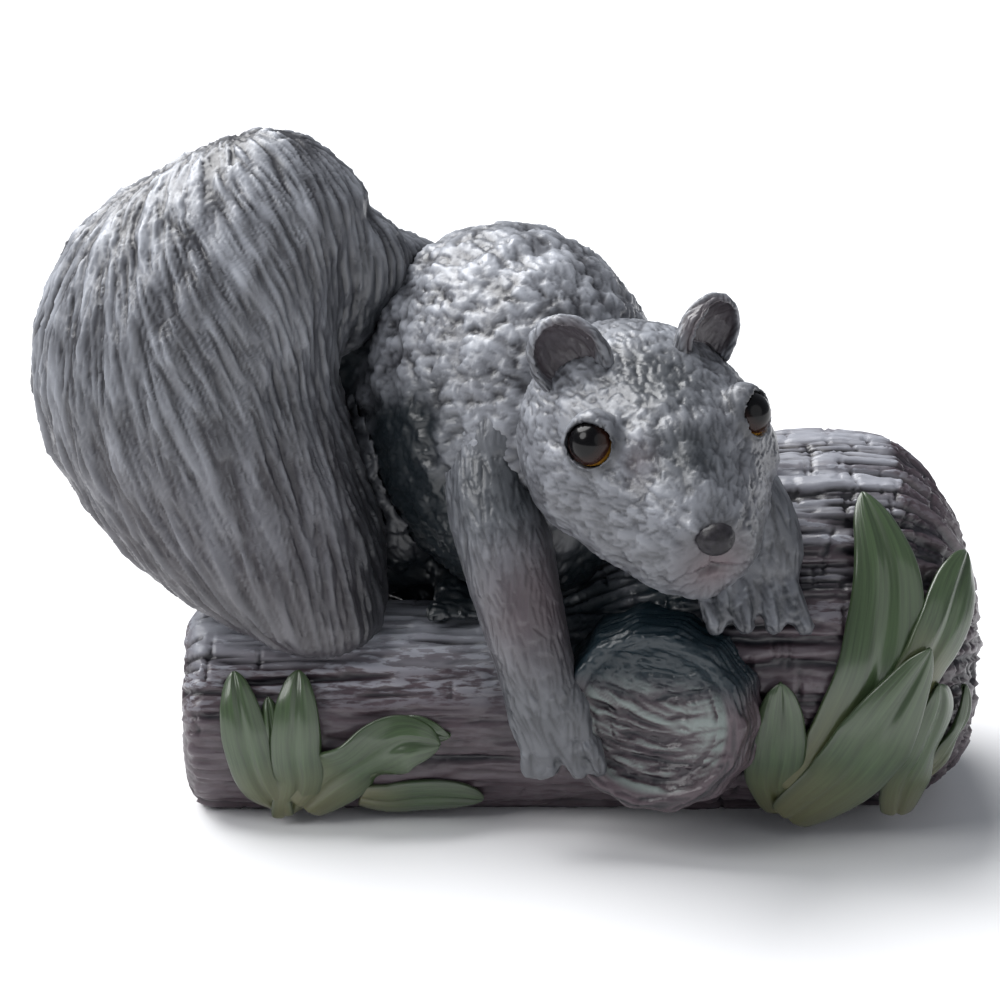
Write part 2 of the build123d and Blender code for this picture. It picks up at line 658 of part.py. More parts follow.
def make_leaf(shares):
    """A plump blade with a creased midrib, curved over the bark from its base to its tip."""
    base_place, base_height, tip_place, tip_height, width, bow, rise, base_lift, tip_lift = shares
    path = []
    normals = []
    for step in range(LEAF_STEPS + 1):
        share = step / LEAF_STEPS
        arch = math.sin(math.pi * share ** LEAF_ARCH_POWER)
        place = along(base_place, tip_place, share) + LEAF_WIDTH * bow * arch / LOG_LENGTH
        angle = bark_angle(place, along(base_height, tip_height, share) + rise * arch)
        normals.append(bark_normal(angle))
        path.append(on_bark(place, angle, LEAF_LIFT * along(base_lift, tip_lift, share)))
    rings = []
    for step in range(LEAF_STEPS):
        way = (path[step + 1] - path[max(step - 1, 0)]).normalized()
        side = way.cross(normals[step]).normalized()
        side = side * (LEAF_WIDTH / 2 * width * LEAF_WIDTH_SHARES[step])
        up = normals[step] * (LEAF_THICKNESS * min(1.0, 2 * LEAF_WIDTH_SHARES[step]))
        rings.append([path[step] + side * x + up * y for x, y in LEAF_PROFILE_SHARES])
    return facet_body(rings, path[0], path[-1])


def tenon(start, end, extra):
    """A round peg from one place towards another, wider and deeper by extra."""
    way = (end - start).normalized()
    side = way.cross(Vector(0, 0, 1) if abs(way.Z) < abs(way.Y) else Vector(0, 1, 0)).normalized()
    radius = TENON_RADIUS + extra
    near = start - way * extra
    far = start + way * (2 * TENON_LENGTH)
    rings = [oval_ring(place, way.cross(side), side, radius, radius, TENON_SIDES) for place in (near, far)]
    return facet_body(rings, near, far)


def pegged(parts, holder, seated, start, end):
    """Peg one casting into the socket of another, along a line from inside the holder."""
    parts[seated] = joined([parts[seated], tenon(start, end, 0)])
    parts[holder] = cut_by(parts[holder], [tenon(start, end, TENON_CLEARANCE)])


def make_head(skull, larger, eyes):
    """The head seated on the torso, with lids round the sockets of the eyes."""
    head = cut_by(skull, larger)
    for hand in (-1, 1):
        head = cut_by(joined([head, make_eye(hand, EYE_RADIUS + LID_THICKNESS)]), [make_lid_opening(hand)])
    return cut_by(head, eyes)


def make_right_foreleg():
    """The right foreleg, which hangs down and hooks its paw round the rim of the stub."""
    frame = stub_frame()
    distance = stub_face_distance() * RIGHT_PAW_SHARE
    paw = stub_point(frame, RIGHT_PAW_ANGLE, STUB_RADIUS, distance) + frame.z_dir * PAW_LIFT
    turn = math.radians(TOE_TURN)
    toe_way = Vector(math.sin(turn), 0, -math.cos(turn))
    shoulder = torso_point(*RIGHT_SHOULDER_SHARES)
    return make_foreleg(shoulder, paw, frame.z_dir, RIGHT_BOW_SHARE, toe_way, TOE_LENGTH)


def make_left_foreleg():
    """The left foreleg, bent over the top of the trunk with its paw flat on the bark."""
    place, height = LEFT_PAW_SHARES
    angle = bark_angle(place, height)
    out = bark_normal(angle)
    toe_way = Vector(1, 0, 0).cross(out)
    shoulder = torso_point(*LEFT_SHOULDER_SHARES)
    paw = on_bark(place, angle, PAW_LIFT)
    return make_foreleg(shoulder, paw, out, LEFT_BOW_SHARE, toe_way, FINGER_LENGTH)


def make_figure(parts):
    """The squirrel, each casting seated on the larger ones."""
    log = parts["log"]
    stub = parts["branch_stub"]
    torso = make_torso()
    skull = make_skull()
    tail = make_tail()
    parts["torso"] = cut_by(torso, [log])
    parts["right_eye"] = make_eye(-1, EYE_RADIUS)
    parts["left_eye"] = make_eye(1, EYE_RADIUS)
    parts["head"] = make_head(skull, [torso, log], [parts["right_eye"], parts["left_eye"]])
    parts["right_ear"] = cut_by(make_ear(-1), [torso, skull])
    parts["left_ear"] = cut_by(make_ear(1), [torso, skull])
    parts["nose"] = cut_by(make_nose(), [skull])
    parts["tail"] = cut_by(tail, [log, torso])
    parts["right_foreleg"] = cut_by(make_right_foreleg(), [log, stub, torso, skull])
    parts["left_foreleg"] = cut_by(make_left_foreleg(), [log, stub, torso, skull])
    right_hind, left_hind = [make_hind_leg(*shares) for shares in HIND_LEG_SHARES]
    parts["right_hind_leg"] = cut_by(right_hind, [log, torso, tail])
    parts["left_hind_leg"] = cut_by(left_hind, [log, torso, parts["left_foreleg"]])


def make_leaves(parts):
    """The two sprigs; each leaf gives way to the log, the stub and the leaves before it."""
    sprigs = {"left": [parts["log"]], "right": [parts["log"], parts["branch_stub"]]}
    for name, shares in LEAF_SHARES.items():
        larger = sprigs[name.split("_")[0]]
        leaf = make_leaf(shares)
        parts[name] = cut_by(leaf, larger)
        larger.append(leaf)


def main():
    """Build every casting, peg the heavy ones together, and write one file for each."""
    parts = {"log": make_log()}
    parts["branch_stub"] = cut_by(make_stub(), [parts["log"]])
    make_figure(parts)
    make_leaves(parts)

    pegged(parts, "log", "branch_stub", stub_axis(STUB_TENON_SHARE), stub_axis(1))
    belly = on_bark(BELLY_TENON_SHARE, 90, -TENON_LENGTH)
    pegged(parts, "log", "torso", belly, belly + Vector(0, 0, TENON_LENGTH))
    pegged(parts, "torso", "head", torso_point(*NECK_SHARES), head_point(0, HEAD_SHARES[3][1], 0))
    tail_root = tail_root_path()
    pegged(parts, "torso", "tail", tail_root[0], tail_root[2])

    for name, solid in parts.items():
        solid.label = name
        export_step(solid, f"parts/{name}.step")
        print(name, round(solid.volume), solid.is_valid, len(solid.faces()))


if __name__ == "__main__":
    main()
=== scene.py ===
import math
from functools import partial

import bpy
import numpy as np
from bpy.props import FloatProperty, FloatVectorProperty, PointerProperty
from bpy.types import Operator, Panel, PropertyGroup
from mathutils import Matrix, Vector, kdtree
from mathutils.bvhtree import BVHTree


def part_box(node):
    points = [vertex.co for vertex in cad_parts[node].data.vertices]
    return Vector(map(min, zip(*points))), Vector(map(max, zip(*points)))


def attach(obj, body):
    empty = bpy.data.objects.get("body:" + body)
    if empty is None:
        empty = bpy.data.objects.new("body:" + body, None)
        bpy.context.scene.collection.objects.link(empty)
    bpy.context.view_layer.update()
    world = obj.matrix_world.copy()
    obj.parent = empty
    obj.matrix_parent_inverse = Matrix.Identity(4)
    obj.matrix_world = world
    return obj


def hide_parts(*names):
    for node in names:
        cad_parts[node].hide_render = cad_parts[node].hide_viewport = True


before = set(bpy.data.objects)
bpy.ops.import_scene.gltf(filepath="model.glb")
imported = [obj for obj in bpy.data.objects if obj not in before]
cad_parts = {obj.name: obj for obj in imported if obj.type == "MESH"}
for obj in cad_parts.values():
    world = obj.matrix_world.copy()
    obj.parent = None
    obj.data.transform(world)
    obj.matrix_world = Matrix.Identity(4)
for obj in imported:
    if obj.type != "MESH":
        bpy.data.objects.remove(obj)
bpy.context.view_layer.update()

bl_info = {
    "name": "Squirrel Figurine Dresser",
    "version": (1, 0, 0),
    "blender": (4, 5, 0),
    "location": "View3D > Sidebar > Figurine",
    "description": "Sculpts and paints a cast squirrel figurine over its packed solids",
    "category": "Object",
}

MM = 0.001


# Colours

def linear(code, alpha=1.0):
    """An sRGB hex colour as linear values."""
    parts = [int(code[i:i + 2], 16) / 255 for i in (1, 3, 5)]
    return tuple(c / 12.92 if c <= 0.04045 else ((c + 0.055) / 1.055) ** 2.4 for c in parts) + (alpha,)


def colour(name, code, description):
    """A colour that a user may change."""
    return FloatVectorProperty(name=name, description=description, subtype="COLOR", size=4, min=0, max=1,
                               default=linear(code))


def size(name, millimetres, description):
    """A length that a user may change."""
    return FloatProperty(name=name, description=description, unit="LENGTH", precision=5, min=0,
                         default=millimetres * MM)


# Settings

class FurSettings(PropertyGroup):
    """Sizes and paint of the sculpted coat."""
    grain: size("Clay Grain", 0.5, "Edge of the mesh on the large furry forms")
    fine_grain: size("Fine Grain", 0.32, "Edge of the mesh on the head, paws and ears")
    lid: size("Lid", 0.9, "Thickness of the eyelids")
    silver: colour("Silver", "#83858b", "Dry-brushed paint on the tips of the strokes")
    # painted highlight: this paler silver goes where the skin faces up and left, toward the light
    bright: colour("Bright Silver", "#c6cad3", "The same paint where the brush meets the crests first")
    charcoal: colour("Charcoal", "#323237", "Wash that lies in the strokes")
    umber: colour("Umber", "#64565a", "Warm wash on the lips, ears and inner legs")
    # painted shade: black in the recesses, under the head and on the sides turned from the light
    black: colour("Black", "#0e161b", "Wash in the deep recesses")


class BarkSettings(PropertyGroup):
    """Sizes and paint of the log and its stub."""
    grain: size("Clay Grain", 0.63, "Edge of the mesh on the log")
    stub_grain: size("Stub Grain", 0.4, "Edge of the mesh on the stub")
    bark: colour("Bark", "#493c42", "Brown-mauve paint of the bark")
    crack: colour("Crack", "#15121a", "Wash in the cracks")
    # also a painted highlight: the pale sheen and the thicker grey where the log faces up toward the light
    weathered: colour("Weathered", "#adb0b9", "Dry-brushed paint on the ridges of the bark")
    # painted shade: teal-black where the head shades the stub and the log round it
    deep: colour("Deep", "#0f2028", "Teal-black wash where the stub meets the log")
    wood: colour("Wood", "#7c8582", "Grey-green strokes on the sawn face")


class LeafSettings(PropertyGroup):
    """Sizes and paint of the leaves."""
    thickness: size("Thickness", 1.2, "Thickness of a blade")
    green: colour("Green", "#485c3c", "Paint of the blades")
    dark: colour("Dark Green", "#33412a", "Wash beside the midrib and at the edges")
    olive: colour("Olive", "#6a6443", "Yellow-brown paint at the bases")


class EyeSettings(PropertyGroup):
    """Sizes and paint of the eyes and the nose."""
    radius: size("Eye Radius", 4.0, "Radius of the stock glass eye")
    pupil: colour("Pupil", "#050405", "Backing of the glass")
    iris: colour("Iris", "#2a1610", "Brown ring round the pupil")
    amber: colour("Amber", "#b5822c", "Bright rim of the iris")
    nose_grain: size("Nose Grain", 0.28, "Edge of the mesh on the nose pad")
    nose: colour("Nose", "#201e21", "Paint of the nose pad")
    bloom: colour("Bloom", "#37343a", "Dull patches in the nose's varnish")


class StageSettings(PropertyGroup):
    """Camera, lamps and floor."""
    distance: size("Camera Distance", 480, "Distance from the lens to the middle of the figurine")
    target: size("Target Height", 54.5, "Height that the camera looks at")
    elevation: FloatProperty(name="Camera Elevation", description="Angle of the camera above the horizon",
                             subtype="ANGLE", default=math.radians(17))
    floor: colour("Floor", "#f2f2f3", "Matt paper under the figurine")
    room: colour("Room", "#dfe6f2", "Colour of the light that the room gives")


class FigurineSettings(PropertyGroup):
    """All settings of the figurine."""
    fur: PointerProperty(type=FurSettings)
    bark: PointerProperty(type=BarkSettings)
    leaf: PointerProperty(type=LeafSettings)
    eye: PointerProperty(type=EyeSettings)
    stage: PointerProperty(type=StageSettings)


# Modelling

def only(*pieces):
    """Selects these pieces alone, the last one active."""
    if bpy.context.object and bpy.context.object.mode != "OBJECT":
        bpy.ops.object.mode_set(mode="OBJECT")
    bpy.ops.object.select_all(action="DESELECT")
    for piece in pieces:
        piece.select_set(True)
    bpy.context.view_layer.objects.active = pieces[-1]


def modify(piece, kind, **settings):
    """Adds a modifier to a piece and applies it."""
    only(piece)
    bpy.ops.object.modifier_add(type=kind)
    modifier = piece.modifiers[-1]
    for key, value in settings.items():
        setattr(modifier, key, value)
    bpy.ops.object.modifier_apply(modifier=modifier.name)


def set_down(piece, matrix):
    """Moves a piece into the figurine's frame and leaves its object at the origin."""
    only(piece)
    piece.matrix_world = matrix
    bpy.ops.object.transform_apply(location=True, rotation=True, scale=True)


def ball(x, y, z, wide, deep=None, tall=None):
    """A ball of clay at a place in mm; its half sizes may differ."""
    bpy.ops.object.select_all(action="DESELECT")
    bpy.ops.mesh.primitive_uv_sphere_add(
        segments=24, ring_count=14, radius=1, location=Vector((x, y, z)) * MM,
        scale=Vector((wide, deep or wide, tall or wide)) * MM)
    return bpy.context.object


def smooth_run(stops, steps):
    """Places on a smooth curve through the given ones."""
    rows = np.array(stops, float)
    out = []
    for i in range(len(rows) - 1):
        a, b, c, d = rows[max(i - 1, 0)], rows[i], rows[i + 1], rows[min(i + 2, len(rows) - 1)]
        for u in np.arange(steps) / steps:
            out.append(b + 0.5 * u * (c - a + u * (2 * a - 5 * b + 4 * c - d + u * (3 * (b - c) + d - a))))
    return np.array(out + [rows[-1]])


def cast_copy(name, node, grain, passes, lumps=()):
    """A packed casting as clay: copied and merged, joined with more lumps of clay into one skin of this
    grain, smoothed by this many passes and made finer."""
    only(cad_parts[node])
    bpy.ops.object.duplicate()
    piece = bpy.context.object
    piece.name = piece.data.name = name
    for key in list(piece.keys()):
        del piece[key]
    piece.parent = None
    piece.hide_render = False
    piece.data.materials.clear()
    bpy.ops.object.mode_set(mode="EDIT")
    bpy.ops.mesh.select_all(action="SELECT")
    bpy.ops.mesh.remove_doubles(threshold=0.01 * MM)
    bpy.ops.object.mode_set(mode="OBJECT")
    if lumps:
        only(*lumps, piece)
        bpy.ops.object.join()
    modify(piece, "REMESH", mode="VOXEL", voxel_size=grain * 2)
    modify(piece, "SMOOTH", factor=0.5, iterations=passes)
    modify(piece, "SUBSURF", levels=1, render_levels=1)
    return piece


def opening(piece, centre, way, radius):
    """Cuts a round opening into a piece, from a centre in mm along a direction; the radius is in metres."""
    depth = 3 * radius
    bpy.ops.object.select_all(action="DESELECT")
    bpy.ops.mesh.primitive_cylinder_add(vertices=48, radius=radius, depth=depth)
    cutter = bpy.context.object
    turn = Vector(way).to_track_quat("Z", "Y").to_matrix().to_4x4()
    set_down(cutter, Matrix.Translation(Vector(centre) * MM + Vector(way) * (depth / 2)) @ turn)
    modify(piece, "BOOLEAN", object=cutter, operation="DIFFERENCE")
    bpy.data.objects.remove(cutter)


# Sculpting strokes

# The way that the painted light comes from, up and a little left and forward: skin that faces it gets paler
# paint as a painted highlight.
PAINTED_LIGHT_WAY = np.array((-0.34, -0.10, 0.93))
# Two like strokes differ in size by up to this share.
VARIATION = 0.35
# A stroke marks the skin that turns at most this far from it, as a cosine.
SAME_SIDE = 0.3
# The relief, from 0 to 1, that evenly painted skin has.
EVEN_RELIEF = 0.52


def skin(piece):
    """Places and normals of a piece's points, in mm."""
    mesh = piece.data
    places = np.empty(len(mesh.vertices) * 3)
    normals = np.empty(len(mesh.vertices) * 3)
    mesh.vertices.foreach_get("co", places)
    mesh.vertices.foreach_get("normal", normals)
    return places.reshape(-1, 3) / MM, normals.reshape(-1, 3)


def reshape(piece, places):
    """Writes places in mm back to a piece."""
    piece.data.vertices.foreach_set("co", (places * MM).ravel())
    piece.data.update()


def unit(vectors):
    """Vectors made one long."""
    return vectors / np.maximum(np.linalg.norm(vectors, axis=-1, keepdims=True), 1e-9)


def lie_flat(ways, normals):
    """Directions laid flat on the skin."""
    return unit(ways - normals * np.sum(ways * normals, axis=1, keepdims=True))


def index_points(places):
    """A search tree of the places."""
    tree = kdtree.KDTree(len(places))
    for i, place in enumerate(places):
        tree.insert(place, i)
    tree.balance()
    return tree


def groove(along, across):
    """Depth of a stroke of the modelling tool: it bites at once and fades out."""
    bite = np.clip((1 + along) * 3, 0, 1)
    fade = np.sqrt(np.clip(1 - along, 0, 2) / 2)
    return -np.clip(1 - across ** 2, 0, 1) ** 1.5 * bite * fade


def lock(along, across):
    """Height of a tuft: it rises from its root and ends in a step."""
    rise = np.clip((along + 1) / 1.8, 0, 1) ** 1.3 * np.clip((1 - along) * 5, 0, 1)
    return rise * np.sqrt(np.clip(1 - across ** 2, 0, 1))


def pit(along, across):
    """Depth of a round dent."""
    return -np.clip(1 - along ** 2 - across ** 2, 0, 1)


class Sculptor:
    """Presses strokes into the skin of one piece and remembers the relief. The strokes' ways are one
    direction, one at each point, or a function that gives them from the places."""

    def __init__(self, piece, ways, seed):
        self.piece = piece
        self.places, self.normals = skin(piece)
        self.ways = lie_flat(ways(self.places) if callable(ways) else ways, self.normals)
        self.tree = index_points(self.places)
        self.random = np.random.default_rng(seed)
        self.relief = np.zeros(len(self.places))
        self.area = sum(face.area for face in piece.data.polygons) / MM ** 2

    def cover(self, rows, where=None):
        """Covers the skin with each row of strokes in turn; where gives each point's chance to be marked."""
        for row in rows:
            self.press(*row, where)

    def press(self, shape, spacing, length, width, depth, spread, where):
        """Presses strokes of these sizes in mm, a spacing apart and turned by about the spread in degrees."""
        count = int(self.area / spacing ** 2)
        marks = self.random.integers(0, len(self.places), count)
        if where is not None:
            marks = marks[where[marks] > self.random.random(len(marks))]
        rows, points = [], []
        reach = length / 2 * (1 + VARIATION)
        for row, mark in enumerate(marks):
            hits = [hit[1] for hit in self.tree.find_range(self.places[mark], reach)]
            rows.append(np.full(len(hits), row))
            points.append(hits)
        rows = np.concatenate(rows)
        points = np.concatenate(points).astype(int)
        turns = np.radians(self.random.normal(0, spread, len(marks)))[:, None]
        scale = 1 + VARIATION * self.random.uniform(-1, 1, len(marks))
        normals = self.normals[marks]
        across = np.cross(normals, self.ways[marks])
        ways = self.ways[marks] * np.cos(turns) + across * np.sin(turns)
        across = np.cross(normals, ways)
        offset = self.places[points] - self.places[marks][rows]
        along = np.sum(offset * ways[rows], axis=1) / (length / 2 * scale[rows])
        aside = np.sum(offset * across[rows], axis=1) / (width / 2 * (0.5 + 0.5 * scale[rows]))
        facing = np.sum(self.normals[points] * normals[rows], axis=1) > SAME_SIDE
        inside = (np.abs(along) < 1) & (np.abs(aside) < 1) & facing
        value = shape(along[inside], aside[inside]) * depth * scale[rows][inside]
        layer = np.zeros(len(self.places))
        (np.maximum if value.size and value.max() > 0 else np.minimum).at(layer, points[inside], value)
        self.relief += layer

    def swell(self, centre, radius, height):
        """Raises or sinks the round spot nearest to a place; the radius and the height are in mm."""
        nearest = self.places[self.tree.find(centre)[1]]
        far = np.linalg.norm(self.places - nearest, axis=1) / radius
        self.places = self.places + self.normals * (height * np.clip(1 - far ** 2, 0, 1) ** 2)[:, None]

    def swell_on_head(self, rows):
        """Swells spots of the head: aside, up, forward, radius and height."""
        for aside, up, forward, radius, height in rows:
            self.swell(on_head(aside, up, forward), radius, height)

    def turn_ways(self):
        """Turns the direction of the next strokes square to the last."""
        self.ways = np.cross(self.normals, self.ways)

    def finish(self, limit=None, even=0.0):
        """Moves the skin by the relief, and keeps the relief, and how far each point faces the painted light,
        for the paint; the more even, the less the relief shows in the paint."""
        moved = self.places + self.normals * (self.relief - self.relief.mean())[:, None]
        if limit is not None:
            moved = limit(moved)
        reshape(self.piece, moved)
        low, high = np.percentile(self.relief, (3, 97))
        share = np.clip((self.relief - low) / max(high - low, 1e-6), 0, 1)
        tint(self.piece, "relief", share * (1 - even) + EVEN_RELIEF * even)
        # how far each point faces the light, for the painted highlight in the paint
        tint(self.piece, "painted_light", np.clip(self.normals @ PAINTED_LIGHT_WAY * 1.25 - 0.2, 0, 1))


def tint(piece, name, values):
    """Stores a number from 0 to 1 at each point of a piece, for its paint."""
    attribute = piece.data.attributes.get(name) or piece.data.attributes.new(name, "FLOAT", "POINT")
    attribute.data.foreach_set("value", np.asarray(values, np.float32))


def ramp(values, start, end):
    """Values stretched from 0 at the start to 1 at the end, and held there."""
    return np.clip((values - start) / (end - start), 0, 1)


def spots(places, rows):
    """How strongly each place lies in soft round spots: x, y, z, radius and strength."""
    total = np.zeros(len(places))
    for x, y, z, radius, strength in rows:
        far = np.linalg.norm(places - (x, y, z), axis=1) / radius
        total = np.maximum(total, strength * np.clip(1.3 - far, 0, 1) ** 1.5)
    return np.clip(total, 0, 1)


def away_from(x, y, z):
    """Directions that point away from a place."""
    return lambda places: places - (x, y, z)


def around(origin, rows):
    """Rows of spots, moved from a piece's middle to their places."""
    return [(*(origin + row[:3]), *row[3:]) for row in rows]


def above_floor(places):
    """The places, with none below the table."""
    return np.column_stack([places[:, :2], np.maximum(places[:, 2], 0)])


def finish_piece(piece, paint, settings, node):
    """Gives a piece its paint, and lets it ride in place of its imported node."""
    only(piece)
    bpy.ops.object.shade_smooth()
    piece.data.materials.clear()
    piece.data.materials.append(painted(paint, settings))
    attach(piece, "root")
    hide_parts(node)


# Paint

def add_node(tree, kind, inputs=(), **settings):
    """Adds a shader node with its settings and gives its outputs. Its inputs are values, or outputs to link:
    in the node's own order, or by name."""
    node = tree.nodes.new("ShaderNode" + kind)
    for key, value in settings.items():
        setattr(node, key, value)
    for key, value in inputs.items() if isinstance(inputs, dict) else enumerate(inputs):
        if isinstance(value, bpy.types.NodeSocket):
            tree.links.new(value, node.inputs[key])
        else:
            node.inputs[key].default_value = value
    return node.outputs


def painted(paint, settings):
    """The material that a paint function lays out, named after it and made the first time it is needed."""
    material = bpy.data.materials.get(paint.__name__)
    if material is None:
        material = bpy.data.materials.new(paint.__name__)
        material.use_nodes = True
        material.node_tree.nodes.clear()
        add = partial(add_node, material.node_tree)
        surface = add("BsdfPrincipled", paint(add, settings))[0]
        add("OutputMaterial", [surface])
    return material


def lacquered(add, colour, rough, varnish, ior=1.5, bump=None):
    """The shader's inputs for a painted skin: how rough it is, its varnish's weight and roughness, and a
    bump's pattern, strength and depth in mm."""
    inputs = {"Base Color": colour, "Roughness": rough, "IOR": ior,
              "Coat Weight": varnish[0], "Coat Roughness": varnish[1]}
    if bump:
        pattern, strength, depth = bump
        inputs["Normal"] = add("Bump", {
            "Height": pattern, "Strength": strength, "Distance": depth * MM})[0]
    return inputs


def layered(add, ground, coats):
    """Coats of paint over a ground, each as strong as its mask."""
    # a Mix node's inputs 0, 6 and 7 are its factor and two colours, and its output 2 is a colour
    for mask, coat in coats:
        ground = add("Mix", {0: mask, 6: ground, 7: coat}, data_type="RGBA")[2]
    return ground


def per_metre(millimetres):
    """The scale of a pattern whose marks are this big."""
    return 1 / (millimetres * MM)


# An Attribute node brings a number that the sculpting kept at each point. A MapRange node's inputs are its
# value, the two ends of the range that it comes from, and those of the range that it goes to.

def dry_brushed_polyresin(add, settings):
    """Cast polyresin, charcoal washed and dry-brushed with silver under satin varnish: the strokes' tips are
    pale, the charcoal lies dark between them, and the varnish puts small broken highlights on top. Paler
    silver where the skin faces up and left is a painted highlight, and black in the recesses and on the sides
    turned from the light is painted shade."""
    relief, painted_light, rosy, painted_shade = [
        add("Attribute", attribute_name=name)["Fac"] for name in ("relief", "painted_light", "rosy", "painted_shade")]
    place = add("TexCoord")["Object"]
    # the charcoal lies unevenly in patches of 9 mm, the varnish in patches of 3 mm, and the brush leaves
    # bristle marks of 0.35 mm
    blotches, gloss, brush = [add("TexNoise", {
        "Vector": place, "Scale": per_metre(mark), "Detail": detail})[0]
        for mark, detail in ((9, 4), (3, 3), (0.35, 2))]
    tips = add("MapRange", (relief, 0.15, 0.95))[0]
    thin = add("MapRange", (blotches, 0.3, 0.7, 0, 0.35))[0]
    rough = add("MapRange", (gloss, 0.3, 0.7, 0.34, 0.52))[0]
    # painted highlight: the silver turns paler where the skin faces up and left, toward the light
    silver = layered(add, settings.silver, [(painted_light, settings.bright)])
    # black over the painted shade mask: painted shade in the recesses and on the sides turned from the light
    colour = layered(add, settings.charcoal, [
        (tips, silver), (rosy, settings.umber), (thin, settings.charcoal), (painted_shade, settings.black)])
    return lacquered(add, colour, rough, varnish=(0.35, 0.22), bump=(brush, 0.25, 0.2))


def varnished_bark_polyresin(add, settings):
    """Cast polyresin painted as wet bark under gloss varnish: brown-mauve, black in the cracks and grey on
    the ridges. The grey lies thicker where the log faces up, and a pale sheen lies on the plates there, both
    a painted highlight; teal-black round the stub is painted shade."""
    relief, painted_light, painted_shade = [
        add("Attribute", attribute_name=name)["Fac"] for name in ("relief", "painted_light", "painted_shade")]
    place = add("TexCoord")["Object"]
    # brush streaks 0.8 mm wide and four times as long, along the log
    grain = add("Mapping", {"Vector": place, "Scale": (0.25, 1, 1)})[0]
    streaks = add("TexNoise", {"Vector": grain, "Scale": per_metre(0.8), "Detail": 5})[0]
    gloss = add("TexNoise", {"Vector": place, "Scale": per_metre(2.5), "Detail": 3})[0]
    ridges = add("MapRange", (relief, 0.2, 0.8))[0]
    worn = add("Math", (relief, streaks), operation="MULTIPLY")[0]
    strokes = add("MapRange", (worn, 0.34, 0.46, 0, 0.8))[0]
    # painted highlight: the grey strokes thicken, and a pale sheen lies on the plates, where the log faces up
    # toward the light
    upper = add("MapRange", (painted_light, 0.3, 0.8, 0.06, 1))[0]
    brushed = add("Math", (strokes, upper), operation="MULTIPLY")[0]
    top = add("MapRange", (painted_light, 0.6, 0.95, 0, 0.75))[0]
    plates = add("MapRange", (relief, 0.25, 0.6))[0]
    painted_sheen = add("Math", (top, plates), operation="MULTIPLY")[0]
    pale = add("Math", (brushed, painted_sheen), operation="MAXIMUM")[0]
    rough = add("MapRange", (gloss, 0.3, 0.7, 0.32, 0.58))[0]
    # teal-black over the painted shade mask: painted shade round the stub
    colour = layered(add, settings.crack, [
        (ridges, settings.bark), (pale, settings.weathered), (painted_shade, settings.deep)])
    return lacquered(add, colour, rough, varnish=(0.3, 0.2), bump=(streaks, 0.3, 0.3))


def weathered_wood_polyresin(add, settings):
    """Cast polyresin painted as a weathered sawn face: grey-green strokes on the growth rings, teal-black
    painted shade at the top where the head shades it, and bark round the rim."""
    relief, face, painted_shade = [
        add("Attribute", attribute_name=name)["Fac"] for name in ("relief", "face", "painted_shade")]
    place = add("TexCoord")["Object"]
    pores = add("TexNoise", {"Vector": place, "Scale": per_metre(0.5), "Detail": 3})[0]
    ridges = add("MapRange", (relief, 0.1, 0.6))[0]
    rings = add("MapRange", (relief, 0.45, 0.95))[0]
    bark = layered(add, settings.crack, [(ridges, settings.bark)])
    wood = layered(add, bark, [(rings, settings.wood)])
    # teal-black over the painted shade mask: painted shade at the top of the face
    colour = layered(add, bark, [(face, wood), (painted_shade, settings.deep)])
    return lacquered(add, colour, 0.42, varnish=(0.3, 0.25), bump=(pores, 0.3, 0.3))


def green_enamel_polyresin(add, settings):
    """Cast polyresin brushed with green enamel: streaks along the blade, olive at its base, dark edges and
    a satin sheen."""
    blade = add("UVMap", uv_map="blade")[0]
    across, along, _ = add("SeparateXYZ", [blade])
    # brush streaks 0.6 mm wide and 8 mm long on a blade 12 mm wide
    stretched = add("Mapping", {"Vector": blade, "Scale": (20, 3, 1)})[0]
    streaks = add("TexNoise", {"Vector": stretched, "Scale": 1.0, "Detail": 3})[0]
    fresh = add("MapRange", (streaks, 0.35, 0.75, 0, 0.9))[0]
    base = add("MapRange", (along, 0.45, 0, 0, 0.7))[0]
    off = add("Math", (across, 0.5), operation="SUBTRACT")[0]
    aside = add("Math", [off], operation="ABSOLUTE")[0]
    edge = add("MapRange", (aside, 0.34, 0.5, 0, 0.8))[0]
    colour = layered(add, settings.dark, [
        (fresh, settings.green), (base, settings.olive), (edge, settings.dark)])
    return lacquered(add, colour, 0.3, varnish=(0.6, 0.16), bump=(streaks, 0.3, 0.3))


def painted_glass_eye(add, settings):
    """Glass taxidermy eye painted behind: black pupil, brown iris with an amber rim, a hard wet highlight."""
    rim = add("Attribute", attribute_name="rim")["Fac"]
    iris = add("MapRange", (rim, 0.45, 0.75))[0]
    edge = add("MapRange", (rim, 0.86, 0.97))[0]
    colour = layered(add, settings.pupil, [(iris, settings.iris), (edge, settings.amber)])
    return lacquered(add, colour, 0.2, varnish=(0.3, 0.12), ior=1.22)


def gloss_nose_polyresin(add, settings):
    """Cast polyresin painted near-black under gloss varnish, with a dull bloom, as a wet nose."""
    place = add("TexCoord")["Object"]
    blotches, pores = [add("TexNoise", {
        "Vector": place, "Scale": per_metre(mark), "Detail": 3})[0] for mark in (0.8, 0.4)]
    dull = add("MapRange", (blotches, 0.4, 0.7, 0, 0.5))[0]
    colour = layered(add, settings.nose, [(dull, settings.bloom)])
    return lacquered(add, colour, 0.42, varnish=(0.12, 0.2), ior=1.3, bump=(pores, 0.3, 0.2))


def matt_paper(add, settings):
    """Uncoated white paper: it takes soft shadows and shows no highlight."""
    return {"Base Color": settings.floor, "Roughness": 0.9}


# Places on the figurine

# The nose lies this far below the line of sight; each eye looks this far aside and up.
NOSE_DROP = math.radians(18)
EYE_TURN = math.radians(43)
EYE_RISE = math.radians(25)
# The two eyes, with -1 for the squirrel's right and 1 for its left.
EYES = {"right": -1, "left": 1}


